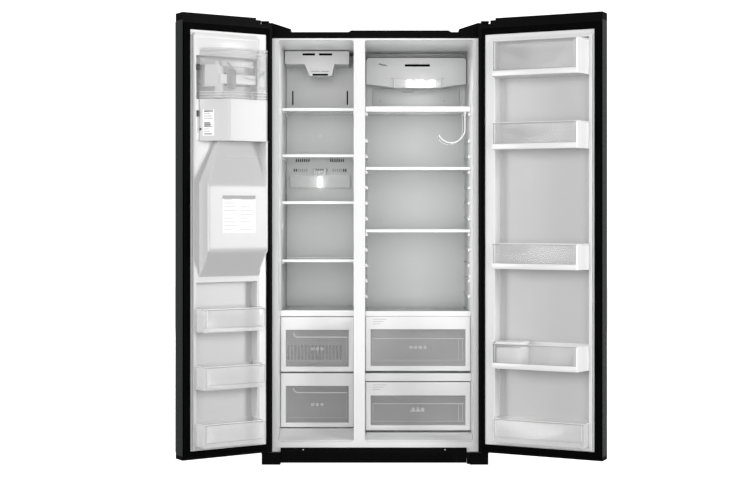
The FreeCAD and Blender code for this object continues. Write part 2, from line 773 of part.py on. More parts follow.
def make_drawer(name, room, front, back, low, high, window_low, window_high):
    """A clear tray with a white face; its side rails slide on the liner's ledges."""
    drawer = Piece(name)
    face = room.inside(side_play)
    tray = room.inside(runner_gap)
    drawer.block(face, (front, front + drawer_face), (low, high))
    drawer.round(3, straight("z", y=front))
    drawer.block(tray, (front + drawer_face - drawer_wall, back), (low + 6, high - 34))
    drawer.block((tray[0] + drawer_wall, tray[1] - drawer_wall),
                 (front + drawer_face, back - drawer_wall), (low + 6 + drawer_wall, high), cut=True)
    drawer.block((face[0] + drawer_border, face[1] - drawer_border),
                 (front - 1, front + drawer_face - drawer_wall), (window_low, window_high), cut=True)
    rail_low = high - 60
    for ends in ((face[0], tray[0]), (tray[1], face[1])):
        drawer.block(ends, (front + drawer_face, back), (rail_low, rail_low + 6))
    return drawer


def make_covers():
    """Panes with a white front trim that lie over the drawers."""
    covers = Piece("drawer_covers")
    for room, front, back, low, edge in cover_places:
        wide = room.inside(1)
        covers.block(wide, (front, front + 10), (low, low + edge))
        covers.block(wide, (front, back), (low + edge - glass_thick - 2, low + edge - 2))


freezer_shelf_lows = [named("freezer_shelf_%d_low" % (i + 1), low)
                      for i, low in enumerate((1408, 1218.6, 1026.7, 788.5))]
fridge_shelf_lows = [named("fridge_shelf_%d_low" % (i + 1), low)
                     for i, low in enumerate((1400, 1164.4, 911.6))]
fridge_shelf_edges = [named("top_shelf_edge", 21.5), shelf_edge, shelf_edge]
freezer_shelf_back = duct_panel_front - 5
fridge_shelf_back = fridge_depth - 9
freezer_cover_low = named("freezer_cover_low", 573)
upper_cover_low = named("upper_cover_low", 572.5)
lower_cover_low = named("lower_cover_low", 310.5)
cover_places = [(freezer, freezer_drawer_front, freezer_shelf_back, freezer_cover_low, 24),
                (fridge, crisper_front, fridge_shelf_back, upper_cover_low, 21),
                (fridge, crisper_front, hump_front - corner_soft, lower_cover_low, 32)]
drawer_places = [
    ("freezer_drawer_upper", freezer, freezer_drawer_front, freezer_shelf_back - 15, 350, 570, 370, 518),
    ("freezer_drawer_lower", freezer, freezer_drawer_front, hump_front - 10, 126, 343.5, 144, 292),
    ("crisper_upper", fridge, crisper_front, fridge_shelf_back - 15, 352, 571.5, 371.5, 519.5),
    ("crisper_lower", fridge, crisper_front, hump_front - 10, 111.5, 306.5, 132, 252)]


def make_furniture():
    """Every shelf, cover and drawer, and the liners whose ledges they rest on."""
    freezer_ledges = [(low - fit, freezer_shelf_front + trim_deep, freezer_shelf_back) for low in freezer_shelf_lows]
    ledge_step = (fridge_shelf_lows[1] - fridge_shelf_lows[2]) / 4
    fridge_ledges = [(fridge_shelf_lows[0] - fit, fridge_shelf_front + trim_deep, fridge_shelf_back)]
    for place in range(-4, 7):
        fridge_ledges.append((fridge_shelf_lows[2] + ledge_step * place - fit,
                              fridge_shelf_front + trim_deep, fridge_shelf_back))
    ledges = {"freezer": freezer_ledges, "fridge": fridge_ledges}
    for name, room, front, back, low, high, window_low, window_high in drawer_places:
        side = "freezer" if room is freezer else "fridge"
        ledges[side].append((as_size(high) - 60 - fit, front + drawer_face + 2, back))
    for room, front, back, low, edge in cover_places:
        side = "freezer" if room is freezer else "fridge"
        ledges[side].append((low + edge - glass_thick - 2, front + 12, back))
    make_liner("freezer_liner", freezer, ledges["freezer"])
    make_liner("fridge_liner", fridge, ledges["fridge"])
    for i, low in enumerate(freezer_shelf_lows):
        make_shelf("freezer_shelf_%d" % (i + 1), freezer, freezer_shelf_front, freezer_shelf_back, low,
                   shelf_edge)
    for i, low in enumerate(fridge_shelf_lows):
        make_shelf("fridge_shelf_%d" % (i + 1), fridge, fridge_shelf_front, fridge_shelf_back, low,
                   fridge_shelf_edges[i])
    make_covers()
    for place in drawer_places:
        make_drawer(*place)


rack_radius = named("rack_radius", 56)
rack_wire = named("rack_wire", 2.4)
rack_rod = named("rack_rod", 1.9)
rack_over = named("rack_over", 5)


def make_bottle_rack():
    """Wire cradle under the top fridge shelf: two bent hoops tied by three rods."""
    top = fridge_shelf_lows[0]
    right = fridge_right - 22
    centre_x = right - rack_radius
    centre_z = top - 68
    near = fridge_shelf_front + 30
    far = near + 180
    parts = []
    for count, y in enumerate((near, far)):
        drop = doc.addObject("Part::Cylinder", "rack_drop_%d" % count)
        bind(drop, "Radius", rack_wire)
        bind(drop, "Height", top - centre_z)
        bind(drop, ".Placement.Base.x", right)
        bind(drop, ".Placement.Base.y", y)
        bind(drop, ".Placement.Base.z", centre_z)
        hoop = doc.addObject("Part::Torus", "rack_hoop_%d" % count)
        bind(hoop, "Radius1", rack_radius)
        bind(hoop, "Radius2", rack_wire)
        hoop.Angle3 = 155
        hoop.Placement = FreeCAD.Placement(FreeCAD.Vector(), FreeCAD.Rotation(FreeCAD.Vector(1, 0, 0), -90))
        bind(hoop, ".Placement.Base.x", centre_x)
        bind(hoop, ".Placement.Base.y", y)
        bind(hoop, ".Placement.Base.z", centre_z)
        parts += [drop, hoop]
    for count, angle in enumerate((14, 90, 146)):
        rod = doc.addObject("Part::Cylinder", "rack_rod_%d" % count)
        rod.Placement = FreeCAD.Placement(FreeCAD.Vector(), Piece.TURNS["y"])
        bind(rod, "Radius", rack_rod)
        bind(rod, "Height", far - near + rack_over * 2)
        bind(rod, ".Placement.Base.x", centre_x + (rack_radius + rack_rod) * math.cos(math.radians(angle)))
        bind(rod, ".Placement.Base.y", near - rack_over)
        bind(rod, ".Placement.Base.z", centre_z - (rack_radius + rack_rod) * math.sin(math.radians(angle)))
        parts.append(rod)
    clip = doc.addObject("Part::Box", "rack_clip")
    bind(clip, "Length", 10)
    bind(clip, "Width", far - near + 12)
    bind(clip, "Height", 8)
    bind(clip, ".Placement.Base.x", right - 5)
    bind(clip, ".Placement.Base.y", near - 6)
    bind(clip, ".Placement.Base.z", top - 8)
    parts.append(clip)
    rack = doc.addObject("Part::MultiFuse", "bottle_rack")
    rack.Shapes = parts
    rack.Label = "bottle_rack"
    pieces["bottle_rack"] = rack


# ---------------------------------------------------------------------------------------------------------
# Doors
# ---------------------------------------------------------------------------------------------------------
grip_inset = named("grip_inset", 6)
grip_wide = named("grip_wide", 24)
grip_out = named("grip_out", 14)
grip_wall = named("grip_wall", 3)
channel_deep = named("channel_deep", 14)


def make_door_shell(door, opening):
    """Steel skin with a finger channel down its front, the foam inside it and its end caps."""
    skin = door.piece(door.name + "_door_skin")
    height = (skin_low, skin_high)
    inner = door.between(sheet_steel, sheet_steel)
    skin.block(door.whole, (door_front, sealing_plane), height)
    skin.round(5, straight("z", y=door_front))
    skin.block(inner, (door_front + sheet_steel, sealing_plane - sheet_steel), (skin_low - 1, skin_high + 1),
               cut=True)
    skin.block(door.between(liner_inset - 2, liner_inset - 2), (sealing_plane - sheet_steel - 1, sealing_plane + 1),
               (liner_low - 2, liner_high + 2), cut=True)
    channel = span(door.from_free(grip_inset + grip_wall), door.from_free(grip_inset + grip_wide + 10))
    lined = span(door.from_free(grip_inset + grip_wall - sheet_steel),
                 door.from_free(grip_inset + grip_wide + 10 + sheet_steel))
    skin.block(lined, (door_front + sheet_steel / 2, door_front + channel_deep + sheet_steel), height)
    skin.block(channel, (door_front - 1, door_front + channel_deep), (skin_low - 1, skin_high + 1), cut=True)

    foam = door.piece(door.name + "_door_foam")
    foam.block(inner, (door_front + sheet_steel, sealing_plane - sheet_steel), height)
    foam.block(door.between(liner_inset - 2, liner_inset - 2), (sealing_plane - sheet_steel - 1, sealing_plane),
               (liner_low - 2, liner_high + 2))
    foam.block(lined, (door_front, door_front + channel_deep + sheet_steel), (skin_low - 1, skin_high + 1),
               cut=True)
    for tub_low, tub_high in door.tubs:
        foam.block((door.recess[0] - liner_wall, door.recess[1] + liner_wall),
                   (recess_floor - liner_wall, sealing_plane + 1),
                   (tub_low - liner_wall, tub_high + liner_wall), cut=True)
    if opening:
        skin.block(opening[0], (door_front - 1, door_front + 5), opening[1], cut=True)
        foam.block(opening[0], (door_front - 1, sealing_plane + 1), opening[1], cut=True)

    caps = door.piece(door.name + "_door_caps")
    caps.block(door.whole, (door_front, sealing_plane), (skin_high, door_high))
    caps.block(door.whole, (door_front, sealing_plane), (door_low, skin_low))
    caps.round(5, straight("z", y=door_front))
    caps.block(span(door.hinge_edge + door.side, door.from_hinge(notch_wide)), (door_front - 1, 0),
               (door_high - notch_drop, door_high + 1), cut=True)
    caps.block(span(door.hinge_edge + door.side, door.from_hinge(pocket_wide)), (door_front - 1, 0),
               (pocket_top, door_high + 1), cut=True)
    caps.disc("z", (door.pivot, pivot_y), pin_radius + pin_play, (skin_high - 1, pocket_top + 1), cut=True)
    caps.disc("z", (door.pivot, pivot_y), pin_radius + pin_play, (door_low - 1, skin_low + 1), cut=True)
    for cavity in (skin, foam):
        cavity.disc("z", (door.pivot, pivot_y), pin_radius + 1, (skin_high - 20, skin_high + 1), cut=True)
        cavity.disc("z", (door.pivot, pivot_y), pin_radius + 1, (skin_low - 1, skin_low + 20), cut=True)


def make_gasket(door):
    """Magnetic seal: a soft ring on the door's inner face."""
    gasket = door.piece(door.name + "_door_gasket")
    deep = (sealing_plane, -fit)
    gasket.block(door.between(gasket_hinge_inset, gasket_inset), deep,
                 (door_low + gasket_low_inset, liner_high + liner_inset - gasket_inset))
    gasket.block(door.between(liner_inset, liner_inset), (sealing_plane - 1, 1), (liner_low, liner_high),
                 cut=True)


def make_handle(door):
    """Full-height grip that stands out over the finger channel beside the door's free edge."""
    grip = door.piece(door.name + "_handle")
    edge = [(grip_inset, 0), (grip_inset, grip_out), (grip_inset + grip_wide - 6, grip_out),
            (grip_inset + grip_wide - 6, grip_out - grip_wall), (grip_inset + grip_wall, grip_out - grip_wall),
            (grip_inset + grip_wall, 0)]
    points = [(door.from_free(inset), door_front - out) for inset, out in edge]
    grip.outline("z", points, (skin_low + 8, skin_high - 2))
    grip.round(2, straight("z", x=door.from_free(grip_inset), y=door_front - grip_out))


def liner_shell(door, name):
    """The white inner face: a flat border, a raised dike ring and one tub behind each recess."""
    liner = door.piece(name)
    liner.block(door.between(liner_inset, liner_inset), (sealing_plane, sealing_plane + border_thick),
                (liner_low, liner_high))
    liner.block(door.between(liner_inset + dike_from_hinge, liner_inset + dike_from_free),
                (sealing_plane, dike_top), (liner_low + dike_from_low, liner_high - dike_from_top))
    for tub_low, tub_high in door.tubs:
        liner.block((door.recess[0] - liner_wall, door.recess[1] + liner_wall),
                    (recess_floor - liner_wall, sealing_plane + 1),
                    (tub_low - liner_wall, tub_high + liner_wall))
    for tub_low, tub_high in door.tubs:
        liner.block(door.recess, (recess_floor, dike_top + 1), (tub_low, tub_high), cut=True)
    return liner


def bin_plan(door, taper, reach, wall, over):
    """Plan of a door bin: square to the recess, then tapering from the dike's top to its front.

    A bin may hang over the hinge-side dike instead, by the given distance.
    """
    hinge, free = door.recess_hinge, door.recess_free
    back = recess_floor + fit + wall
    front = sealing_plane + reach - wall
    side = as_size(wall) + fit
    lean = taper + wall
    plan = [(door.from_hinge(hinge + lean), front), (door.from_free(free + lean), front),
            (door.from_free(free + side), dike_top), (door.from_free(free + side), back),
            (door.from_hinge(hinge + side), back), (door.from_hinge(hinge + side), dike_top)]
    if over:
        lip = dike_top + overhang_lift + wall
        outer = door.from_hinge(hinge - over + wall)
        plan[0] = (outer, front)
        plan[5:] = [(door.from_hinge(hinge + side), lip), (outer, lip)]
    return plan


def make_bin(door, name, low, high, taper, reach, band, over=None):
    """An open-topped door bin with a thicker band along its foot and a thinner window above it."""
    tray = door.piece(name)
    tray.outline("z", bin_plan(door, taper, reach, 0, over), (low, high))
    tray.round(6, straight("z", y=sealing_plane + reach))
    tray.outline("z", bin_plan(door, taper, reach, bin_wall, over), (as_size(low) + 3, as_size(high) + 1),
                 cut=True)
    front = sealing_plane + reach
    window = door.between(door.recess_hinge + taper + 14, door.recess_free + taper + 14)
    tray.block(window, (front - 0.8, front + 1), (as_size(low) + band, as_size(high) + 1), cut=True)
    tray.block(window, (front - bin_wall - 1, front - bin_wall + 0.4), (as_size(low) + band, as_size(high) + 1),
               cut=True)


freezer_bin_low = named("freezer_bin_low", 107.5)
freezer_bin_pitch = named("freezer_bin_pitch", 216)
freezer_bin_high = named("freezer_bin_high", 89)
freezer_bin_reach = named("freezer_bin_reach", 77)
freezer_bin_taper = named("freezer_bin_taper", 6)
fridge_bin_reach = named("fridge_bin_reach", 103)
fridge_bin_taper = named("fridge_bin_taper", 19)
fridge_bins = [(1511, 1645, 25), (1232, 1334, 22), (777, 874, 22), (398, 494, 22)]


def make_bins():
    for i in range(3):
        low = freezer_bin_low + freezer_bin_pitch * (2 - i)
        make_bin(freezer_door, "freezer_bin_%d" % (i + 1), low, low + freezer_bin_high, freezer_bin_taper,
                 freezer_bin_reach, 18, overhang)
    for i, (low, high, band) in enumerate(fridge_bins):
        make_bin(fridge_door, "fridge_bin_%d" % (i + 1), low, high, fridge_bin_taper, fridge_bin_reach, band)
    make_bin(fridge_door, "fridge_bin_5", 108, 201, as_size(5), as_size(55), 18)


# ---------------------------------------------------------------------------------------------------------
# Ice and water at the freezer door
# ---------------------------------------------------------------------------------------------------------
def make_freezer_liner_bulge(liner):
    """The bulge behind the dispenser, with its hinge-side cheek and the ice chute through it."""
    door = freezer_door
    hinge = door.recess_hinge - overhang
    ends = door.between(hinge, door.recess_free + bulge_inset)
    front = sealing_plane + bulge_reach
    side = [(sealing_plane, bulge_low - 4), (front, bulge_face_low), (front, bulge_face_high),
            (sealing_plane + 45, ice_low - 8), (sealing_plane + 45, ice_low - 0.3), (sealing_plane, ice_low - 0.3)]
    liner.outline("x", side, ends)
    cheek = span(door.from_hinge(hinge), door.from_hinge(hinge + 12))
    liner.block(cheek, (sealing_plane, front), (bulge_face_high - 1, ice_low - 0.3))
    wedge = [(door.from_free(door.recess_free + bulge_inset - 1), bulge_face_high + flank_rise),
             (door.from_free(door.recess_free + bulge_inset - 1), ice_low + 1),
             (door.from_free(door.recess_free + 78), ice_low + 1)]
    liner.outline("y", wedge, (dike_top, front + 1), cut=True)
    liner.round(9, straight("z", y=front, x=list(ends)))
    cavity = about(door.centre, recess_wide / 2 + liner_wall)
    liner.block(cavity, (sealing_plane - 1, sealing_plane + recess_back + liner_wall),
                (recess_low - liner_wall, recess_high + liner_wall), cut=True)
    liner.block(about(door.centre, 36), (0, 24), (recess_high, ice_low + 1), cut=True)


def ice_plan(door, wall):
    """Plan of the ice compartment: it hangs over the hinge-side dike and slants at the free side."""
    hinge, free = door.recess_hinge, door.recess_free
    back = recess_floor + fit + wall
    front = sealing_plane + ice_reach - wall
    side = as_size(wall) + fit
    lip = dike_top + overhang_lift + wall
    outer = hinge - overhang + wall
    return [(door.from_hinge(hinge + side), back), (door.from_hinge(hinge + side), lip),
            (door.from_hinge(outer), lip), (door.from_hinge(outer), front), (door.from_free(free + 99 + wall), front),
            (door.from_free(free + 13 + side), dike_top + 2), (door.from_free(free + 13 + side), back)]


def make_ice_group():
    """Clear cover, ice mould, lift-out bucket and its auger."""
    door = freezer_door
    bucket_low = ice_low + fit
    bucket_top = ice_low + bucket_high
    cover_low = bucket_top + 1
    cover_top = cover_low + ice_cover_high
    cover = door.piece("ice_maker_cover")
    cover.outline("z", ice_plan(door, 0), (cover_low, cover_top))
    cover.round(14, straight("z", y=sealing_plane + ice_reach))
    cover.outline("z", ice_plan(door, 2.5), (cover_low - 1, cover_top - 2.5), cut=True)
    cover.block((door.recess[0], door.recess[1]), (recess_floor - 1, recess_floor + 20),
                (cover_low - 1, cover_top - 2.5), cut=True)

    maker = door.piece("ice_maker")
    tray = (door.centre - 95, door.centre + 55)
    maker.block(tray, (-12, 62), (cover_low + 58, cover_low + 92))
    maker.block((door.centre - 91, door.centre + 51), (-8, 58), (cover_low + 62, cover_low + 93), cut=True)
    maker.block((door.centre - 91, door.centre - 88), (-8, 58), (cover_low + 61, cover_low + 84))
    maker.repeat("x", 20 * 6, 7)
    motor = [(door.centre + 54, -12), (door.centre + 98, -12), (door.centre + 98, 20), (door.centre + 60, 53),
             (door.centre + 54, 53)]
    maker.outline("z", motor, (cover_low + 46, cover_low + 130))
    maker.block((door.centre - 100, door.centre + 98), (recess_floor + fit, -12), (cover_low + 58, cover_low + 80))
    maker.disc("x", (24, cover_low + 100), 4, (door.centre - 95, door.centre + 55))
    maker.block((door.centre - 95, door.centre - 91), (16, 32), (cover_low + 60, cover_low + 104))

    bucket = door.piece("ice_bucket")
    bucket.outline("z", ice_plan(door, 0), (bucket_low, bucket_top))
    bucket.round(14, straight("z", y=sealing_plane + ice_reach))
    bucket.outline("z", ice_plan(door, 3), (bucket_low + 4, bucket_top + 1), cut=True)
    bucket.block(about(door.centre, 34), (1, 23), (bucket_low - 1, bucket_low + 5), cut=True)
    grip = span(door.from_free(door.recess_free + 8), door.from_free(door.recess_free + 30))
    bucket.block(grip, (dike_top + 24, sealing_plane + ice_reach), (bucket_low + 96, bucket_low + 124), cut=True)
    for ends in auger_ears(door):
        bucket.block(ends, about(auger_y, 10), (bucket_low + 3, auger_z + 10))
    bucket.disc("x", (auger_y, auger_z), 5 + pin_play, (door.centre - 128, door.centre + 128), cut=True)

    auger = door.piece("ice_auger")
    near, far = auger_ears(door)
    auger.disc("x", (auger_y, auger_z), 5, (near[0] + 1, far[1] - 1))
    auger.disc("x", (auger_y, auger_z), 22, (near[1] + 8, near[1] + 11))
    auger.repeat("x", far[0] - near[1] - 19, 6)


auger_y = named("auger_y", 12)
auger_z = named("auger_z", 1306)


def auger_ears(door):
    """Where the two ears that carry the auger stand, across the bucket."""
    return (about(door.centre - 104, 4), about(door.centre + 62, 4))


def make_dispenser():
    """Dispenser in the freezer door's front: bezel and cavity, paddle and drip tray."""
    door = freezer_door
    centre = door.centre
    half = recess_wide / 2
    front = door_front - 3
    back = sealing_plane + recess_back
    housing = door.piece("dispenser_housing")
    housing.block(about(centre, half + liner_wall), (door_front, back + liner_wall),
                  (recess_low - liner_wall, recess_high + liner_wall))
    housing.block(about(centre, half + 14), (front, door_front), (recess_low - 14, recess_high + display_high))
    housing.block(about(centre, half), (front - 1, back), (recess_low, recess_high), cut=True)
    housing.block(about(centre, 34), (2, 22), (recess_high - 1, recess_high + liner_wall + 1), cut=True)
    for side in (-1, 1):
        housing.block(about(centre + 39 * side, 4), (back - 20, back + 1), about(paddle_z, 10))
    housing.disc("x", (paddle_y, paddle_z), 4 + pin_play, about(centre, 44), cut=True)

    paddle = door.piece("dispenser_paddle")
    paddle.disc("x", (paddle_y, paddle_z), 4, about(centre, 42))
    paddle.block(about(centre, 28), (paddle_y - 2, paddle_y + 1), (paddle_z - 140, paddle_z))

    tray = door.piece("drip_tray")
    tray.block(about(centre, half - 2), (door_front + 2, back - 4), (recess_low + fit, recess_low + 16))
    tray.block(about(centre, half - 5), (door_front + 5, back - 7), (recess_low + 4, recess_low + 17), cut=True)
    tray.block((centre - half + 3, centre - half + 6), (door_front + 4, back - 5), (recess_low + 11, recess_low + 14))
    tray.repeat("x", recess_wide - 9, 16)


paddle_y = named("paddle_y", 44)
paddle_z = named("paddle_z", 1100)


def make_doors():
    """Both doors with everything that hangs on them, swung open."""
    freezer_door.tubs = [(recess_bottom, bulge_low), (ice_low, recess_ceiling)]
    fridge_door.tubs = [(recess_bottom, recess_ceiling)]
    window = (about(freezer_door.centre, recess_wide / 2 + liner_wall),
              (recess_low - liner_wall, recess_high + liner_wall))
    make_door_shell(freezer_door, window)
    make_door_shell(fridge_door, None)
    liner = liner_shell(freezer_door, "freezer_door_liner")
    make_freezer_liner_bulge(liner)
    liner_shell(fridge_door, "fridge_door_liner")
    for door in (freezer_door, fridge_door):
        make_gasket(door)
        make_handle(door)
    make_bins()
    make_ice_group()
    make_dispenser()
    for door in (freezer_door, fridge_door):
        door.open()


# ---------------------------------------------------------------------------------------------------------
# Build, check and write
# ---------------------------------------------------------------------------------------------------------
def check_and_write():
    """Stop at any failed object, then write each piece to its own file."""
    doc.recompute()
    for item in doc.Objects:
        if "Invalid" in item.State or "Error" in item.State:
            raise RuntimeError("failed: " + item.Label)
    for name, item in pieces.items():
        if item.Shape.isNull() or not item.Shape.isValid() or not item.Shape.Solids:
            raise RuntimeError("bad shape: " + name)
    os.makedirs("parts", exist_ok=True)
    for name, item in pieces.items():
        item.Shape.exportStep("parts/%s.step" % name)
    print(len(pieces), "pieces written")


make_cabinet_shell()
make_front_frame()
make_furniture()
make_cabinet_foam()
make_base_pan()
make_rear_rollers()
make_levelling_feet()
make_base_grille()
make_hinges()
make_top_covers()
make_rear_panels()
make_water_valve()
make_compressor()
make_freezer_duct_panel()
make_evaporator()
make_evaporator_fan()
make_lamps()
make_fridge_duct_housing()
make_bottle_rack()
make_doors()
check_and_write()
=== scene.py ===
import json
import math
import bmesh
import bpy
from mathutils import Matrix, Vector


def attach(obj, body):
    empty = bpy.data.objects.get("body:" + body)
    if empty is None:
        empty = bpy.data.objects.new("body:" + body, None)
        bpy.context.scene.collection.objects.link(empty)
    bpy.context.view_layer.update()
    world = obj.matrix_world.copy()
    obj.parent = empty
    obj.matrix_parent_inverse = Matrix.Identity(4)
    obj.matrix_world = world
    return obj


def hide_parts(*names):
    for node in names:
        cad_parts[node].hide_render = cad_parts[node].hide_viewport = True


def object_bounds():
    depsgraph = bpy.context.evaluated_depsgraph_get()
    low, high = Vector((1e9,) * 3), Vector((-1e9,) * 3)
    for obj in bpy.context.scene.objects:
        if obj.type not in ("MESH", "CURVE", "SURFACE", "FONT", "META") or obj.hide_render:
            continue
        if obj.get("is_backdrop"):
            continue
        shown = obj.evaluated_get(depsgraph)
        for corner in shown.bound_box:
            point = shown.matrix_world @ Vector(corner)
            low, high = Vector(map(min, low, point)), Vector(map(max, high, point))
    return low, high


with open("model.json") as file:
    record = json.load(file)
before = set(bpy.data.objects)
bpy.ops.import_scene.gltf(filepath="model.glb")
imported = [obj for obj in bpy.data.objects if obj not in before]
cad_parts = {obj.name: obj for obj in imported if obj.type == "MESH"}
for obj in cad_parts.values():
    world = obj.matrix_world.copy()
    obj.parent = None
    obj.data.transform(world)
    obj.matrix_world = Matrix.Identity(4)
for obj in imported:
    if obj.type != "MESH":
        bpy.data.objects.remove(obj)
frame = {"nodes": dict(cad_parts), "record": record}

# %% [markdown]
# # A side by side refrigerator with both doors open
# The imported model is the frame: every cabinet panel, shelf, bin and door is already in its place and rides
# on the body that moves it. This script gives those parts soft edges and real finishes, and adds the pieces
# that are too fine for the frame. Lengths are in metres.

frame_size = [list(corner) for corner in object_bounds()]
nodes, record = frame["nodes"], frame["record"]
body_of = {node: body for body, group in record["behaviour"]["bodies"].items() for node in group}
slot_of = {part["node"]: part["material_slot"] for part in record["subparts"]}
joint = {each["name"]: each for each in record["behaviour"]["joints"]}
MM = 0.001
FILM = 0.2 * MM     # how far a thin piece stands off the part that it lies on


def link_object(name, data):
    obj = bpy.data.objects.new(name, data)
    bpy.context.scene.collection.objects.link(obj)
    return obj


def show(what, corners):
    """Print a box's two corners, or any other places, to the nearest millimetre."""
    print(what, [round(v, 3) for corner in corners for v in corner])


show("frame", frame_size)

# %% [markdown]
# ## Camera
# A long lens from almost six metres keeps the cabinet's edges upright, as in a catalogue picture. The
# camera is level and shifted a little, because tilting it would make the sides lean.

# %% Camera
distance, eye_height = 5.752, 0.986
view_width, focal_length, drop = 750, 1458, 26
camera = link_object("camera", bpy.data.cameras.new("camera"))
camera.location = (0, -distance, eye_height)
camera.rotation_euler = (math.pi / 2, 0, 0)
camera.data.sensor_width = 36
camera.data.lens = camera.data.sensor_width * focal_length / view_width
camera.data.shift_y = -drop / view_width
camera.data.clip_end = 60
bpy.context.scene.camera = camera
print("lens", round(camera.data.lens, 1), "mm")

# %% [markdown]
# ## Shader maths
# A finish is written as sums on patterns. `Wire` wraps one output of a node, so `1 - mask` adds its own
# maths node, and `Finish.node` makes any other node from its type, its settings and the values of its
# sockets.

# %% Shader helpers
class Wire:
    """One node output that can be added, subtracted and multiplied."""
    def __init__(self, finish, socket):
        self.finish, self.socket = finish, socket

    def maths(self, operation, *terms):
        return self.finish.node("Math", {"operation": operation}, dict(enumerate(terms)))

    def __add__(self, other):
        return self.maths("ADD", self, other)

    def __radd__(self, other):
        return self.maths("ADD", other, self)

    def __sub__(self, other):
        return self.maths("SUBTRACT", self, other)

    def __rsub__(self, other):
        return self.maths("SUBTRACT", other, self)

    def __mul__(self, other):
        return self.maths("MULTIPLY", self, other)

    def __rmul__(self, other):
        return self.maths("MULTIPLY", other, self)


class Finish:
    """A material that starts from the piece's own coordinates."""
    def __init__(self, name):
        self.material = bpy.data.materials.new(name)
        self.material.use_nodes = True
        self.tree = self.material.node_tree
        self.tree.nodes.clear()
        self.place = self.node("TexCoord", out="Object")

    def node(self, kind, settings=None, inputs=None, out=0):
        made = self.tree.nodes.new("ShaderNode" + kind)
        for key, value in (settings or {}).items():
            setattr(made, key, value)
        for key, value in (inputs or {}).items():
            self.feed(made.inputs[key], value)
        return Wire(self, made.outputs[out])

    def feed(self, socket, value):
        if isinstance(value, Wire):
            self.tree.links.new(value.socket, socket)
        else:
            socket.default_value = value

    def noise(self, scale, detail=3.0, squash=(1, 1, 1), rough=0.5):
        """Cloudy grey pattern; squash stretches it along an axis."""
        place = self.node("Mapping", None, {"Vector": self.place, "Scale": squash})
        return self.node("TexNoise", None, {"Vector": place, "Scale": scale, "Detail": detail,
                                            "Roughness": rough})

    def mix(self, mask, first, second):
        """A colour that goes from first to second with the mask."""
        made = self.tree.nodes.new("ShaderNodeMix")
        made.data_type = "RGBA"
        sockets = [s for s in made.inputs if s.enabled]
        for socket, value in zip(sockets, (mask, first, second)):
            self.feed(socket, value)
        return Wire(self, [s for s in made.outputs if s.enabled][0])

    def bump(self, height, strength, distance):
        return self.node("Bump", None, {"Height": height, "Strength": strength, "Distance": distance})

    def surface(self, **sockets):
        """Principled surface; an underscore stands for a space in a socket's name."""
        shader = self.tree.nodes.new("ShaderNodeBsdfPrincipled")
        for key, value in sockets.items():
            self.feed(shader.inputs[key.replace("_", " ")], value)
        output = self.tree.nodes.new("ShaderNodeOutputMaterial")
        self.tree.links.new(shader.outputs[0], output.inputs[0])
        return self.material


def grey(level):
    return (level, level, level, 1)


print("shader helpers ready")

# %% [markdown]
# ## Moulded plastics
# A refrigerator is mostly vacuum-formed and injection-moulded plastic. White sheet has a soft gloss, a
# faint orange peel and slow changes of tone where it was stretched. The same recipe with other numbers
# makes every white, black and clear plastic here, so that most differ as real grades do; a few whites are
# only darker copies of the liner's white, painted shade for walls, back walls, the bulge and the recesses.

# %% Plastic recipe
def plastic(name, light, dark, rough, peel=0.12, grain=900, coat=0.0, alpha=None, shine=0.5):
    """Moulded plastic: slow change of tone, uneven gloss and a fine skin."""
    finish = Finish(name)
    cloud = finish.noise(5, 4)
    fine = finish.noise(grain, 2)
    rub = finish.noise(38, 5, rough=0.6)
    sockets = {"Base_Color": finish.mix(cloud, grey(dark), grey(light)),
               "Roughness": rough * 0.8 + rub * rough * 0.4,
               "Normal": finish.bump(fine + cloud * 0.6, peel, 0.0006),
               "IOR": 1.5, "Specular_IOR_Level": shine}
    if coat:
        sockets["Coat_Weight"] = coat
        sockets["Coat_Roughness"] = 0.06
    if alpha is not None:
        sockets["Alpha"] = alpha + rub * 0.04
    return finish.surface(**sockets)


liner_white = plastic("liner_white", 0.78, 0.74, 0.30, coat=0.1)
# The next four whites are darker copies of the liner's white above them: painted shade for the side walls, the
# back walls, the door's bulge and bucket, and the recess floors.
liner_wall = plastic("liner_wall", 0.66, 0.62, 0.30, coat=0.1)
liner_shade = plastic("liner_shade", 0.62, 0.58, 0.34, coat=0.1)
bulge_shade = plastic("bulge_shade", 0.58, 0.55, 0.30, coat=0.1)
door_floor_shade = plastic("door_floor_shade", 0.56, 0.52, 0.34, coat=0.1)
trim_white = plastic("trim_white", 0.84, 0.81, 0.22, coat=0.2)
satin_black = plastic("satin_black", 0.0016, 0.0008, 0.42, peel=0.25, grain=1400, shine=0.04)
gloss_black = plastic("gloss_black", 0.006, 0.004, 0.12, coat=0.5, shine=0.5)
key_grey = plastic("key_grey", 0.10, 0.07, 0.35)
clear_bin = plastic("clear_bin", 0.92, 0.88, 0.10, peel=0.08, alpha=0.34)
bin_window = plastic("bin_window", 0.62, 0.56, 0.10, peel=0.08, alpha=0.20)
cover_clear = plastic("cover_clear", 0.52, 0.46, 0.09, peel=0.06, alpha=0.19)
clear_band = plastic("clear_band", 0.92, 0.89, 0.14, peel=0.08, alpha=0.72)
smoke_pane = plastic("smoke_pane", 0.94, 0.88, 0.12, peel=0.06, alpha=0.18)
tray_clear = plastic("tray_clear", 0.80, 0.75, 0.12, peel=0.06, alpha=0.05)
print(len(bpy.data.materials), "materials")

# %% [markdown]
# ## Painted steel, glass, rubber and metal
# The doors and sides are prepainted steel in a very dark green-grey with a clear coat, so their edges catch
# a cool light. The shelf panes are tempered glass that reads as pale green at the edge. The back is
# galvanised steel with its crystal spangle, and the seals are soft vinyl.

# %% Metals, glass and rubber
def painted_steel(name, light, dark, metal, coat, shine):
    finish = Finish(name)
    cloud = finish.noise(3, 3)
    flake = finish.noise(2600, 1)
    peel = finish.noise(160, 2)
    return finish.surface(
        Base_Color=finish.mix(cloud * 0.6 + flake * 0.4, dark, light), Metallic=metal,
        Roughness=0.20 + flake * 0.12, Coat_Weight=coat, Coat_Roughness=0.05, Specular_IOR_Level=shine,
        Normal=finish.bump(peel, 0.05, 0.0008))


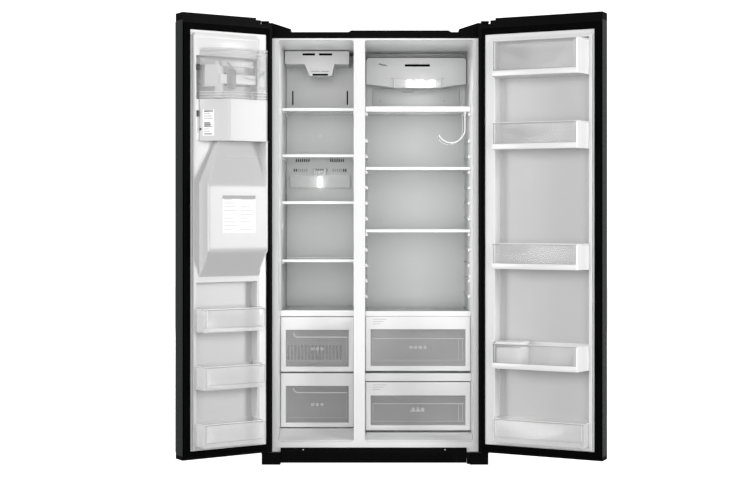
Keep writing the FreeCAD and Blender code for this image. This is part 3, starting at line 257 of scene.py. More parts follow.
def bare_metal(name, colour, rough, scale=180, squash=(1, 1, 1)):
    finish = Finish(name)
    brushed = finish.noise(scale, 4, squash)
    stain = finish.noise(7, 4)
    shade = tuple(c * 0.72 for c in colour[:3]) + (1,)
    return finish.surface(Base_Color=finish.mix(stain, shade, colour), Metallic=1.0,
                          Roughness=rough + brushed * 0.2, Normal=finish.bump(brushed, 0.15, 0.0003))


def spangle_metal(name):
    """Galvanised sheet: each zinc crystal has its own tone."""
    finish = Finish(name)
    crystal = finish.node("TexVoronoi", None, {"Vector": finish.place, "Scale": 130}, out="Color")
    tone = finish.node("RGBToBW", None, {"Color": crystal})
    return finish.surface(Base_Color=finish.mix(tone, grey(0.50), grey(0.62)), Metallic=1.0,
                          Roughness=0.34 + tone * 0.22, Normal=finish.bump(tone, 0.1, 0.0004))


def soft_rubber(name, light, dark):
    finish = Finish(name)
    dust = finish.noise(60, 5)
    ridge = finish.noise(700, 2)
    return finish.surface(Base_Color=finish.mix(dust, grey(dark), grey(light)), Roughness=0.5 + dust * 0.25,
                          Specular_IOR_Level=0.03, Normal=finish.bump(ridge, 0.2, 0.0004))


def pane_glass(name):
    finish = Finish(name)
    smear = finish.noise(14, 4)
    return finish.surface(Base_Color=(0.80, 0.86, 0.84, 1), Roughness=0.05 + smear * 0.10,
                          Alpha=0.42 + smear * 0.06, IOR=1.52,
                          Normal=finish.bump(finish.noise(30, 2), 0.02, 0.0005))


def lit(name, colour, strength):
    """A lamp's own glow, a little uneven in a cloudy pattern."""
    finish = Finish(name)
    cloud = finish.noise(40, 2)
    return finish.surface(Base_Color=colour, Emission_Color=finish.mix(cloud, colour, grey(1.0)),
                          Emission_Strength=strength, Roughness=0.3 + cloud * 0.2)


dark_skin = painted_steel("dark_skin", (0.014, 0.019, 0.018, 1), (0.007, 0.010, 0.009, 1), 0.2, 0.15, 0.2)
dark_cabinet = painted_steel("dark_cabinet", (0.022, 0.026, 0.026, 1), (0.013, 0.016, 0.016, 1), 0.1, 0.1, 0.3)
white_steel = painted_steel("white_steel", grey(0.77), grey(0.74), 0.0, 0.4, 0.5)
zinc = spangle_metal("zinc")
plated = bare_metal("plated", (0.62, 0.63, 0.65, 1), 0.28)
fins = bare_metal("fins", (0.80, 0.81, 0.82, 1), 0.25, 300, (1, 1, 0.1))
seal = soft_rubber("seal", 0.0010, 0.0005)
roller_rubber = soft_rubber("roller_rubber", 0.05, 0.03)
glass = pane_glass("glass")
glow_white = lit("glow_white", (1.0, 0.99, 0.96, 1), 3.0)
glow_soft = lit("glow_soft", (1.0, 0.99, 0.97, 1), 1.6)
print(len(bpy.data.materials), "materials")

# %% [markdown]
# ## Insulation and paper
# The foam shows only where a cover is off, and is a yellow mass of closed cells. Labels are coated paper.

# %% Foam and paper
def foam_finish():
    finish = Finish("foam")
    cell = finish.node("TexVoronoi", None, {"Vector": finish.place, "Scale": 900}, out="Distance")
    return finish.surface(Base_Color=finish.mix(cell, (0.80, 0.66, 0.36, 1), (0.88, 0.78, 0.52, 1)),
                          Roughness=0.85 + cell * 0.1, Normal=finish.bump(cell, 0.5, 0.001))


def paper_finish(name, light, dark):
    finish = Finish(name)
    fibre = finish.noise(1500, 3)
    return finish.surface(Base_Color=finish.mix(fibre, grey(dark), grey(light)), Roughness=0.4 + fibre * 0.2,
                          Normal=finish.bump(fibre, 0.08, 0.0002))


foam = foam_finish()
# Besides print and paper, the grey ink paints shade in slots and under bin rims, the pale ink paints
# highlights on tray edges and shade in a fold, and the paper white paints highlights along tray rims.
paper_and_painted_highlight = paper_finish("paper_and_painted_highlight", 0.94, 0.91)
grey_ink_and_painted_shade = paper_finish("grey_ink_and_painted_shade", 0.42, 0.34)
ink_dark = paper_finish("ink_dark", 0.06, 0.035)
pale_ink_and_painted_light = paper_finish("pale_ink_and_painted_light", 0.72, 0.66)
print(len(bpy.data.materials), "materials")

# %% [markdown]
# ## Doors shut and doors open
# A door's pieces are easiest to place while it is shut and square to the cabinet. `opened` is the turn
# about the hinge pins from shut to the open pose of the frame, so a piece can be made shut and then carried
# open. `turn_of` picks it by the body that the piece rides on.

# %% Door turns
def opened(name):
    """The turn from shut to the frame's own pose for one door joint."""
    swing = joint[name]
    pin = Matrix.Translation(Vector(swing["pos_m"]))
    turn = Matrix.Rotation(math.radians(-swing["range_deg"][0]), 4, Vector(swing["axis"]))
    return pin @ turn @ pin.inverted()


still = Matrix.Identity(4)
freezer_open, fridge_open = opened("freezer_door_swing"), opened("fridge_door_swing")


def turn_of(body):
    """The turn that opens the door on which a body hangs."""
    if body.startswith(("freezer_door", "freezer_bin", "ice_", "dispenser_", "drip_tray")):
        return freezer_open
    return fridge_open if body.startswith(("fridge_door", "fridge_bin")) else still


def box(node):
    """A node's lowest and highest corners, measured with its door shut."""
    back = turn_of(body_of[node]).inverted()
    points = [back @ vertex.co for vertex in nodes[node].data.vertices]
    return (Vector([min(p[i] for p in points) for i in range(3)]),
            Vector([max(p[i] for p in points) for i in range(3)]))


door_skins = ("freezer_door_skin", "fridge_door_skin")
for node in door_skins:
    show(node, box(node))

# %% [markdown]
# ## Soft edges on the frame's parts
# Moulded and folded parts have no knife edges, and a small round catches a line of light that tells the eye
# where a part ends. A CAD mesh is never changed, so `refine` works on a copy: it welds the loose triangles,
# clears the flat faces of stray edges and lets a Bevel modifier round what is left. A rule can give each
# face its finish.

# %% Refined copies
def add_object(name, bm):
    """An object of its own for a finished bmesh."""
    mesh = bpy.data.meshes.new(name)
    bm.to_mesh(mesh)
    bm.free()
    return link_object(name, mesh)


def wear(obj, finishes):
    obj.data.materials.clear()
    for finish in finishes:
        obj.data.materials.append(finish)


def settle(obj, body, finishes, slot=None):
    """Give a piece its finish, its body and its smooth faces."""
    wear(obj, finishes)
    obj.data.shade_smooth()
    obj.data.set_sharp_from_angle(angle=math.radians(32))
    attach(obj, body)
    return obj


def skin_area(bm):
    """The area of a mesh as its triangles cover it."""
    area = 0.0
    for first, second, third in bm.calc_loop_triangles():
        side, other = second.vert.co - first.vert.co, third.vert.co - first.vert.co
        area += side.cross(other).length / 2
    return area


weld, flat_angle, area_slack = 2e-5, math.radians(0.6), 2e-4


def clean_copy(node):
    """The node's mesh, welded, with its flat faces cleared of stray edges where that keeps its area."""
    bm = bmesh.new()
    bm.from_mesh(nodes[node].data)
    bmesh.ops.remove_doubles(bm, verts=bm.verts, dist=weld)
    before, spare = skin_area(bm), bm.copy()
    bmesh.ops.dissolve_limit(bm, angle_limit=flat_angle, verts=bm.verts, edges=bm.edges)
    if abs(skin_area(bm) - before) > before * area_slack:
        bm.free()
        return spare, False
    spare.free()
    return bm, True


def refine(node, finishes, soft, rule=None, mould=None):
    """A copy of a frame part with soft edges; rule(centre, normal) picks a finish for each face.

    mould(bm) may reshape the copy first, with its door shut.
    """
    bm, flat = clean_copy(node)
    turn = turn_of(body_of[node])
    back = turn.inverted()
    if mould:
        bm.transform(back)
        mould(bm)
        bm.transform(turn)
    bm.normal_update()
    if rule:
        for face in bm.faces:
            face.material_index = rule(back @ face.calc_center_median(), back.to_3x3() @ face.normal)
    obj = add_object(node + "_soft", bm)
    keep = [polygon.material_index for polygon in obj.data.polygons]
    settle(obj, body_of[node], finishes, slot_of[node])
    obj.data.polygons.foreach_set("material_index", keep)
    if soft and flat:
        bevel = obj.modifiers.new("soft edges", "BEVEL")
        bevel.width = soft * MM
        bevel.segments = 2
        bevel.limit_method = "ANGLE"
        bevel.angle_limit = math.radians(35)
        bevel.harden_normals = True
    elif soft:
        print("kept sharp:", node)
    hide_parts(node)


# %% Parts with one finish
soft_parts = (
    ("front_frame", white_steel, 0.8), ("base_grille", satin_black, 1.2), ("top_covers", satin_black, 1.2),
    ("hinges", satin_black, 0.6), ("fridge_duct_housing", liner_shade, 1.5), ("bottle_rack", trim_white, 0.0),
    ("freezer_handle", gloss_black, 0.8), ("fridge_handle", gloss_black, 0.8),
    ("freezer_door_gasket", seal, 2.5), ("fridge_door_gasket", seal, 2.5),
    ("freezer_door_caps", satin_black, 1.5), ("fridge_door_caps", satin_black, 1.5),
    # The ice bucket wears the bulge's darker copy of white, painted shade.
    ("ice_bucket", bulge_shade, 1.5), ("ice_maker_cover", cover_clear, 1.2), ("ice_maker", trim_white, 1.0),
    ("ice_auger", plated, 0.4), ("dispenser_paddle", satin_black, 1.0), ("drip_tray", satin_black, 0.5),
    ("lamp_covers", clear_bin, 0.8), ("water_valve", trim_white, 0.8))
kept_parts = (
    ("rear_panels", zinc), ("base_pan", zinc), ("cabinet_foam", foam), ("freezer_door_foam", foam),
    ("fridge_door_foam", foam), ("evaporator", fins), ("evaporator_fan", trim_white),
    ("compressor", satin_black), ("rear_rollers", roller_rubber), ("levelling_feet", satin_black))
for node, finish, soft in soft_parts:
    refine(node, [finish], soft)
for node, finish in kept_parts:
    wear(nodes[node], [finish])
for node in door_skins:
    refine(node, [dark_skin, satin_black], 0.6, lambda centre, normal: int(normal.y > 0.5))
refine("cabinet_shell", [dark_cabinet, satin_black], 0.5, lambda centre, normal: int(normal.y < -0.5))
print(len(soft_parts), "parts refined,", len(kept_parts), "kept")

# %% [markdown]
# ## Liners
# The liners are drawn from one sheet each, but they wear lit and shaded copies of its white. A compartment's
# back wall is greyest and its other walls a little grey, both painted shade, while its ceiling keeps the plain
# white as painted light; the floor of a door's recess is greyer than its borders, painted shade too.

# %% Liners
def facing(normal, way):
    return normal.y * way > 0.9


# Painted light: the ceiling takes the plain white, the back wall the greyest copy and the other walls and the
# floor a grey copy, both painted shade.
def compartment_rule(centre, normal):
    if normal.z < -0.9:
        return 2
    return int(facing(normal, -1) and centre.y > 0.38)


for node in ("freezer_liner", "fridge_liner"):
    refine(node, [liner_wall, liner_shade, liner_white], 0, compartment_rule)
refine("freezer_duct_panel", [liner_shade], 0.8)

# %% [markdown]
# ## The bulge on the freezer door
# Hot sheet bends over its mould in soft curves, which a bevel is too small for. So the bulge is cut into a
# fine grid and smoothed a few times, and the housing inside is drawn in a little to stay behind it.

# %% Bulge
bulge_foot, bulge_head = 0.700, 1.262


def relax_bulge(bm):
    """Cut the bulge into a fine grid and let it relax."""
    grid, border = 12 * MM, 20 * MM
    for axis, first, last in ((0, -0.440, -0.070), (1, 0.022, 0.094), (2, bulge_foot, bulge_head)):
        way = Vector([1.0 if i == axis else 0.0 for i in range(3)])
        for step in range(int((last - first) / grid) + 1):
            faces = [face for face in bm.faces if face.calc_center_median().y > border
                     and bulge_foot < face.calc_center_median().z < bulge_head]
            edges = list({edge for face in faces for edge in face.edges})
            verts = list({vert for face in faces for vert in face.verts})
            bmesh.ops.bisect_plane(bm, geom=verts + edges + faces, dist=1e-6,
                                   plane_co=way * (first + grid * step), plane_no=way)
    free = [vert for vert in bm.verts if vert.co.y > 24 * MM
            and bulge_foot + 30 * MM < vert.co.z < bulge_head - 20 * MM]
    for _ in range(5):
        bmesh.ops.smooth_vert(bm, verts=free, factor=0.5, use_axis_x=True, use_axis_y=True, use_axis_z=True)
    print("bulge relaxed at", len(free), "points")


def draw_in(bm):
    """Draw the housing's deep end in, to stay behind the relaxed bulge."""
    for vert in bm.verts:
        if vert.co.y > 30 * MM:
            vert.co.y -= 5 * MM


def recess_floor(centre, normal):
    return facing(normal, 1) and centre.y < -30 * MM


# Painted light on the freezer door: below z 1.0 the recess floor takes a darker copy of white as painted
# shade; on the bulge the flank that faces the hinge takes the bright trim white as a painted highlight, and
# the other faces a darker copy as painted shade.
def freezer_door_rule(centre, normal):
    if recess_floor(centre, normal) and centre.z < 1.0:
        return 1
    if centre.y > 0 and 0.7 < centre.z < 1.26:
        return 3 if normal.x < -0.2 else 2
    return 0


refine("dispenser_housing", [gloss_black], 1.2, mould=draw_in)
refine("freezer_door_liner", [liner_white, door_floor_shade, bulge_shade, trim_white], 3.0, freezer_door_rule,
       relax_bulge)
# The fridge door's recess floor takes a darker copy of white, painted shade.
refine("fridge_door_liner", [liner_white, door_floor_shade], 3.0,
       lambda centre, normal: int(recess_floor(centre, normal)))

# %% [markdown]
# ## Shelves
# Each shelf is a tempered pane held by a white rim, which is deepest in front. The pane and the rim are one
# part of the frame, so the faces at the pane's two levels take glass and the rest take white.

# %% Shelves and covers
def glass_rule(levels):
    def rule(centre, normal):
        return int(abs(normal.z) > 0.9 and any(abs(centre.z - level) < FILM for level in levels))
    return rule


pane = 4 * MM
for node in [n for n in nodes if "_shelf_" in n]:
    low, high = box(node)
    bottom = low.z + (high.z - low.z - pane) / 2
    refine(node, [trim_white, glass], 1.0, glass_rule((bottom, bottom + pane)))
refine("drawer_covers", [trim_white, glass], 1.0,
       lambda centre, normal: int(abs(normal.z) > 0.9 and centre.y > 0.2))
print("shelves and covers done")

# %% [markdown]
# ## Drawers
# A drawer has a white face with a smoked window, and a clear tray behind it.

# %% Drawers
def drawer_rule(low, high):
    def rule(centre, normal):
        if centre.y > low.y + 15 * MM:
            return 2
        inside = low.x + 21 * MM < centre.x < high.x - 21 * MM
        return int(abs(normal.y) > 0.9 and inside and centre.y > low.y + 8 * MM)
    return rule


for node in ("freezer_drawer_upper", "freezer_drawer_lower", "crisper_upper", "crisper_lower"):
    refine(node, [trim_white, smoke_pane, tray_clear], 1.0, drawer_rule(*box(node)))

# %% [markdown]
# ## Door bins
# The freezer's bins are clear all over, with a thicker band along the foot that looks whiter. The fridge's
# bins have white ends and a white foot around a clear window, but for the lowest, which is clear too.

# %% Door bins
def bin_rule(low, high, band, white):
    def rule(centre, normal):
        above = centre.z > low.z + band
        front = abs(normal.y) > 0.9 and centre.y > high.y - 4 * MM
        middle = low.x + 25 * MM < centre.x < high.x - 25 * MM
        return int(above and (front and middle or not white))
    return rule


freezer_bins = ["freezer_bin_%d" % i for i in range(1, 4)]
fridge_bins = ["fridge_bin_%d" % i for i in range(1, 6)]
for node in freezer_bins + fridge_bins:
    white = node in fridge_bins[:-1]
    band = 19 * MM if node in freezer_bins else 22 * MM
    finishes = [liner_white, bin_window] if white else [clear_band, clear_bin]
    refine(node, finishes, 1.0, bin_rule(*box(node), band, white))
print(len(freezer_bins) + len(fridge_bins), "bins")

# %% [markdown]
# ## Making small pieces
# The small pieces are joined from a few solids in one mesh. `Shape` starts each solid from a bmesh
# operator, bevels it there and then, and at the end carries the whole piece from its shut door to the open
# one.

# %% Shapes
class Shape:
    """A mesh that collects solids, all in metres in the frame's own axes."""
    def __init__(self):
        self.bm = bmesh.new()

    def block(self, low, high, soft=0.0, segments=2):
        low, high = Vector(low), Vector(high)
        place = Matrix.Translation((low + high) / 2) @ Matrix.Diagonal((*(high - low), 1))
        made = bmesh.ops.create_cube(self.bm, size=1, matrix=place)["verts"]
        if soft:
            edges = {edge for vert in made for edge in vert.link_edges}
            bmesh.ops.bevel(self.bm, geom=list(edges), offset=soft, offset_type="OFFSET", segments=segments,
                            profile=0.5, affect="EDGES", clamp_overlap=True, material=-1)
        return self

    def rod(self, start, end, radius, tip=None, segments=24):
        start, end = Vector(start), Vector(end)
        aim = (end - start).to_track_quat("Z", "Y").to_matrix().to_4x4()
        bmesh.ops.create_cone(self.bm, cap_ends=True, segments=segments, radius1=radius,
                              radius2=radius if tip is None else tip, depth=(end - start).length,
                              matrix=Matrix.Translation((start + end) / 2) @ aim)
        return self

    def ball(self, centre, radii):
        place = Matrix.Translation(Vector(centre)) @ Matrix.Diagonal((*radii, 1))
        bmesh.ops.create_uvsphere(self.bm, u_segments=24, v_segments=14, radius=1, matrix=place)
        return self

    def piece(self, name, body, finish, slot=None):
        self.bm.normal_update()
        self.bm.transform(turn_of(body))
        return settle(add_object(name, self.bm), body, [finish], slot)


def wire(name, points, radius, body, finish, closed=False, smooth=False):
    """A bent wire or pipe along points; smooth rounds it as one curve."""
    turn = turn_of(body)
    data = bpy.data.curves.new(name, "CURVE")
    data.dimensions = "3D"
    data.bevel_depth = radius
    data.bevel_resolution = 3
    data.use_fill_caps = True
    spline = data.splines.new("NURBS" if smooth else "POLY")
    spline.points.add(len(points) - 1)
    for point, place in zip(spline.points, points):
        point.co = (*(turn @ Vector(place)), 1)
    if smooth:
        spline.use_endpoint_u = True
        spline.order_u = 4
    spline.use_cyclic_u = closed
    raw = bpy.data.objects.new(name, data)
    mesh = bpy.data.meshes.new_from_object(raw)
    mesh.name = name
    bpy.data.objects.remove(raw)
    return settle(link_object(name, mesh), body, [finish])


print("shape helpers ready")

# %% [markdown]
# ## Lamps
# The freezer's lamp is one pear-shaped bulb in a holder behind a clear cover. The fridge has three small
# globes in a row. They glow, which gives the bright spots that the eye looks for first.

# %% Lamps
lamp_x, lamp_y, wall_y = -0.237, 0.512, 0.5249
bulb = Shape().ball((lamp_x, lamp_y, 1.117), (0.0115, 0.0115, 0.017))
bulb.rod((lamp_x, lamp_y, 1.118), (lamp_x, lamp_y, 1.150), 0.0105, 0.007)
freezer_bulb = bulb.piece("freezer_bulb", "cabinet", glow_white, slot="lamp_glass")
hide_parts("lamp_bulbs")
holder = Shape().rod((lamp_x, lamp_y, 1.148), (lamp_x, lamp_y, 1.170), 0.010)
for left, right, y, low_z, high_z in (
        (-0.026, -0.018, 0.500, 1.150, 1.182), (0.018, 0.026, 0.500, 1.150, 1.182),
        (-0.026, 0.026, 0.504, 1.164, 1.172)):
    holder.block((lamp_x + left, y, low_z), (lamp_x + right, wall_y, high_z), 0.001)
holder.piece("freezer_lamp_holder", "cabinet", trim_white)
globes, rim, clips = Shape(), Shape(), Shape()
for x in (0.147, 0.193, 0.241):
    globes.ball((x, 0.3915, 1.5375), (0.0145, 0.0045, 0.0145))
globes.piece("fridge_globes", "cabinet", glow_white)
for x in (0.079, 0.275):
    rim.block((x, 0.385, 1.5185), (x + 0.004, 0.4, 1.5535), 0.0008)
rim.block((0.079, 0.385, 1.5175), (0.279, 0.4, 1.5195), 0.0005)
rim.piece("fridge_lamp_rim", "cabinet", clear_band)
for x in (0.068, 0.282):
    clips.block((x, 0.397, 1.556), (x + 0.008, 0.4, 1.5595), 0.0006)
clips.piece("fridge_lamp_clips", "cabinet", grey_ink_and_painted_shade)
show("lamps", box("lamp_bulbs"))


# %% Light from the lamps
def area_light(name, place, aim, size, power):
    """A soft rectangular light at a place, turned to face its aim."""
    data = bpy.data.lights.new(name, "AREA")
    data.shape = "RECTANGLE"
    data.size, data.size_y = size
    data.energy = power
    lamp = link_object(name, data)
    lamp.location = place
    lamp.rotation_euler = (Vector(aim) - Vector(place)).to_track_quat("-Z", "Y").to_euler()
    return lamp


def room_light(name, node, power):
    """A light as large as a compartment's mouth that shines inwards, so that the walls read as white."""
    low, high = box(node)
    foot, margin, depth = 0.60, 30 * MM, 12 * MM
    place = Vector(((low.x + high.x) / 2, depth, (foot + high.z) / 2))
    size = (high.x - low.x - margin, high.z - foot - margin)
    area_light(name, place, place + Vector((0, 1, 0)), size, power).visible_glossy = False
    show(name, (place, size))


area_light("fridge_lamp_light", (0.19, 0.37, 1.525), (0.19, 0.40, 1.2), (0.10, 0.10), 0.12)
room_light("freezer_room_light", "freezer_liner", 1.0)
room_light("fridge_room_light", "fridge_liner", 1.05)

# %% [markdown]
# ## Fridge back wall
# Below the lamp housing a flat cover stands a little proud of the back wall. It has a slot and two screws,
# and two small sensor domes sit on the right wall.

# %% Fridge back wall
SHEET = 2.5 * MM
liner_low, liner_high = box("fridge_liner")
back_y = liner_high.y - SHEET
cover = Shape().block((-0.010, back_y - 0.006, 1.432), (0.362, back_y - 0.0003, 1.522), 0.002)
cover.piece("fridge_rear_cover", "cabinet", liner_shade)
marks = Shape()
marks.block((0.118, back_y - 0.0068, 1.506), (0.166, back_y - 0.0058, 1.510))
for x in (0.022, 0.296):
    marks.rod((x, back_y - 0.0070, 1.470), (x, back_y - 0.0058, 1.470), 0.003)
marks.piece("fridge_rear_marks", "cabinet", grey_ink_and_painted_shade)
domes = Shape()
for z in (0.972, 0.730):
    domes.ball((liner_high.x - SHEET, 0.20, z), (0.006, 0.013, 0.013))
domes.piece("fridge_sensor_domes", "cabinet", trim_white)
dome = Shape().ball((box("freezer_liner")[0].x + SHEET, 0.24, 0.935), (0.005, 0.012, 0.014))
dome.piece("freezer_sensor_dome", "cabinet", trim_white)
print("back wall at", round(back_y, 4))

# %% [markdown]
# ## Shelf supports
# Each ledge in the side walls of the fridge ends in a round white nose, which a shelf drops behind. The
# noses are short blocks across the wall with well rounded edges, one at each level and on both sides.

# %% Shelf supports
shelf_1, shelf_2, shelf_3 = [box("fridge_shelf_%d" % i)[0].z for i in (1, 2, 3)]
pitch = (shelf_2 - shelf_3) / 4
nose_levels = [shelf_1] + [shelf_3 + pitch * step for step in range(-4, 7)]
noses = Shape()
for level in nose_levels:
    for wall, way in ((liner_low.x + SHEET, 1), (liner_high.x - SHEET, -1)):
        low_x, high_x = sorted((wall - way * 0.001, wall + way * 0.011))
        noses.block((low_x, 0.166, level - 0.0155), (high_x, 0.190, level - 0.0035), 0.004, 3)
noses.piece("fridge_ledge_noses", "cabinet", trim_white)
print(len(nose_levels) * 2, "noses")

# %% [markdown]
# ## Air slots
# Every slot opens on an unlit duct. Thin dark pieces just inside the slots are painted shade, which makes them
# read as openings from any side. The lower row beside the freezer's lamp turns paler towards its middle, and
# the hood's lower slots are pale too: there the pieces are a lighter grey, a paler painted shade.

# %% Air slots
panel_face, hood_face, slot_deep = 0.5256, 0.3575, 0.0012
louvre, step = 0.0046, 0.009
upper_row, lower_row, foot_row = (1.2102, 1.2218), (1.1682, 1.1808), (0.3592, 0.4218)
# Dark and pale pieces in the slots are painted shade.
dark_slot_shade, pale_slot_shade = Shape(), Shape()
for x in (-0.354, -0.119):
    dark_slot_shade.block((x - 0.0029, panel_face, 1.4562), (x + 0.0029, panel_face + slot_deep, 1.5158))
for shape, first, width, pitch, count, (low, high) in (
        (dark_slot_shade, -0.3408, louvre, step, 7, upper_row),
        (dark_slot_shade, -0.1928, louvre, step, 7, upper_row),
        (dark_slot_shade, -0.3768, 0.0076, 0.015, 16, foot_row),
        (dark_slot_shade, -0.3498, louvre, step, 2, lower_row),
        (dark_slot_shade, -0.1368, louvre, step, 2, lower_row),
        (pale_slot_shade, -0.3318, louvre, step, 5, lower_row),
        (pale_slot_shade, -0.1818, louvre, step, 5, lower_row),
        (pale_slot_shade, -0.2628, louvre, step, 7, lower_row)):
    for i in range(count):
        x = first + i * pitch
        shape.block((x, panel_face, low), (x + width, panel_face + slot_deep, high))
for low_x, high_x in ((-0.304, -0.251), (-0.235, -0.179)):
    dark_slot_shade.block((low_x + 0.0003, 0.3562, 1.6503), (high_x - 0.0003, hood_face, 1.6587))
for low_x, high_x in ((-0.268, -0.232), (-0.226, -0.192)):
    pale_slot_shade.block((low_x + 0.0003, 0.3558, 1.5812), (high_x - 0.0003, hood_face, 1.5848))
dark_slot_shade.block((-0.262, 0.3540, 1.5655), (-0.197, 0.3556, 1.5733))
dark_slot_shade.block((0.1263, 0.4012, 1.6083), (0.2317, 0.4025, 1.6177))
dark_slot_shade.piece("air_slots_dark_shade", "cabinet", satin_black)
pale_slot_shade.piece("air_slots_pale_shade", "cabinet", grey_ink_and_painted_shade)
print("slots placed")

# %% Lines of the fridge's lamp housing
seam = [(-0.0375, 1.536), (-0.0375, 1.634), (-0.034, 1.642), (-0.026, 1.6455), (0.374, 1.6455),
        (0.382, 1.642), (0.3855, 1.634), (0.3855, 1.536)]
wire("housing_seam", [(x, 0.4002, z) for x, z in seam], 0.0011, "cabinet", ink_dark)
wire("housing_mark", [(0.0155, 0.4012, 1.6195), (0.0485, 0.4012, 1.6120)], 0.0026, "cabinet", grey_ink_and_painted_shade)
spot = Shape().rod((-0.236, 0.5246, 1.322), (-0.236, 0.5252, 1.322), 0.007)
spot.piece("panel_spot", "cabinet", pale_ink_and_painted_light)

# %% [markdown]
# ## Edges of the door bins
# Clear mouldings are seen by their edges. A white rim runs round the mouth of each bin: it is the lip, with a
# painted highlight on it, and the darker line under it is painted shadow. White rods near the front corners
# are painted highlights, and a thin line outlines the window between them. The fridge's bins also have ribs on
# their slanted ends and a white foot.

# %% Edges of the bins
root_y, rim_radius, line_radius = 12 * MM, 0.0013, 0.0007


def bin_edges(node, hinge_x, free_x, front_free, front_hinge, foot_rise):
    low, high = box(node)
    front, top, foot = high.y + FILM, high.z - 0.0012, low.z + foot_rise
    rim = [(free_x, root_y), (front_free, front), (front_hinge, front), (hinge_x, root_y + 0.002)]
    # The white rim is the lip with a painted highlight on it; the grey line under it is a painted shadow.
    wire(node + "_rim", [(x, y, top) for x, y in rim], rim_radius, node, trim_white)
    shadow = [(x, y - 0.0003, top - 0.0028) for x, y in rim]
    wire(node + "_rim_shadow", shadow, line_radius, node, grey_ink_and_painted_shade)
    step = 0.004 if front_free < front_hinge else -0.004
    left, right, head = front_free + step, front_hinge - step, top - 0.004
    window = [(x, front - FILM, z) for x, z in ((left, foot), (right, foot), (right, head), (left, head))]
    wire(node + "_window", window, line_radius, node, grey_ink_and_painted_shade, closed=True)
    # White rods near the front corners are painted highlights.
    corner_highlights = Shape()
    for x in (front_free + step * 2.5, front_hinge - step * 2.5):
        corner_highlights.rod((x, front - 0.0004, foot), (x, front - 0.0004, head), 0.0009, segments=10)
    corner_highlights.piece(node + "_corner_highlights", node, trim_white)


for node in freezer_bins:
    low, high = box(node)
    bin_edges(node, low.x, high.x, high.x - 0.007, low.x + 0.003, 0.019)
for node in fridge_bins:
    low, high = box(node)
    lean = 0.006 if node == fridge_bins[-1] else 0.020
    bin_edges(node, high.x, low.x, low.x + lean, high.x - lean, 0.022)
    if node == fridge_bins[-1]:
        continue
    ribs = Shape()
    for step in range(1, 8):
        x, y = high.x - lean * step / 8 + FILM, root_y + (high.y - root_y) * step / 8
        ribs.rod((x, y, low.z + 0.004), (x, y, high.z - 0.004), line_radius, segments=8)
    ribs.piece(node + "_ribs", node, trim_white)
    foot = Shape()
    foot.block((low.x + lean, high.y - 0.0008, low.z), (high.x - lean, high.y + 0.0010, low.z + 0.021),
               0.0008)
    foot.piece(node + "_foot", node, liner_white)
print("bin edges done")

# %% [markdown]
# ## Sills
# Just inside each mouth the liner's floor turns up in a soft lip, which keeps spills in. It is a thin
# sheet, so it starts as one face that is extruded along its profile, and Solidify gives it its wall.

# %% Sills
def sill(name, low_x, high_x, top):
    profile = [(0.0045, 0.0892), (0.0080, 0.0922), (0.0160, 0.0940), (0.0700, 0.1035), (0.1230, top)]
    bm = bmesh.new()
    row = [bm.verts.new((low_x, *profile[0])), bm.verts.new((high_x, *profile[0]))]
    edges = [bm.edges.new(row)]
    for (y, z), (next_y, next_z) in zip(profile, profile[1:]):
        made = bmesh.ops.extrude_edge_only(bm, edges=edges)["geom"]
        bmesh.ops.translate(bm, verts=[v for v in made if isinstance(v, bmesh.types.BMVert)],
                            vec=(0, next_y - y, next_z - z))
        edges = [edge for edge in made if isinstance(edge, bmesh.types.BMEdge)
                 and abs(edge.verts[0].co.z - edge.verts[1].co.z) < 1e-6]
    bmesh.ops.recalc_face_normals(bm, faces=bm.faces)
    if sum(face.normal.z for face in bm.faces) < 0:
        bmesh.ops.reverse_faces(bm, faces=bm.faces)
    # The lip is the liner's floor but wears the brighter trim white instead of the floor's grey copy, painted
    # light.
    obj = settle(add_object(name, bm), "cabinet", [trim_white])
    wall = obj.modifiers.new("wall", "SOLIDIFY")
    wall.thickness = 0.0012
    wall.offset = -1
    curve = obj.modifiers.new("curve", "BEVEL")
    curve.width = 0.0025
    curve.segments = 3
    curve.limit_method = "ANGLE"
    curve.angle_limit = math.radians(12)


side_gap, drawer_gap = 0.0012, 0.0035
for name, node in (("freezer_sill", "freezer_drawer_lower"), ("fridge_sill", "crisper_lower")):
    low, high = box(node)
    sill(name, low.x - side_gap, high.x + side_gap, low.z - drawer_gap)
    print(name, round(low.z, 4))

# %% [markdown]
# ## Marks on the drawer windows
# Each smoked window carries a row of small printed pictures of food. Plain rings with a stalk stand in for
# them, and short grey bars stand in for the printed notes beside the fridge drawers' top edge.

# %% Drawer marks
pane_depth, icon_gap, note_gap = 0.0114, 0.019, 0.009
for node, count, level in (("freezer_drawer_upper", 3, 0.441), ("freezer_drawer_lower", 3, 0.216),
                           ("crisper_upper", 4, 0.446), ("crisper_lower", 3, 0.196)):
    low, high = box(node)
    pane_y = low.y + pane_depth
    for i in range(count):
        x = (low.x + high.x) / 2 + (i - (count - 1) / 2) * icon_gap
        wide, tall = 0.0058 - 0.001 * (i % 2), 0.0046 + 0.001 * (i % 2)
        turns = [math.tau * step / 12 for step in range(12)]
        ring = [(x + wide * math.cos(turn), pane_y, level + tall * math.sin(turn)) for turn in turns]
        wire("%s_icon_%d" % (node, i), ring, 0.0009, node, paper_and_painted_highlight, closed=True)
        stalk = [(x - 0.001, pane_y, level + tall * 0.2), (x + 0.001, pane_y, level - tall * 0.4)]
        wire("%s_icon_stalk_%d" % (node, i), stalk, 0.0011, node, paper_and_painted_highlight)
    if node.startswith("crisper"):
        notes = Shape()
        for row in range(3):
            level = high.z - 0.012 - row * note_gap
            notes.block((low.x + 0.030, low.y - FILM, level),
                        (low.x + 0.084 - row * 0.012, low.y + 0.0004, level + 0.0015))
        notes.piece(node + "_notes", node, grey_ink_and_painted_shade)
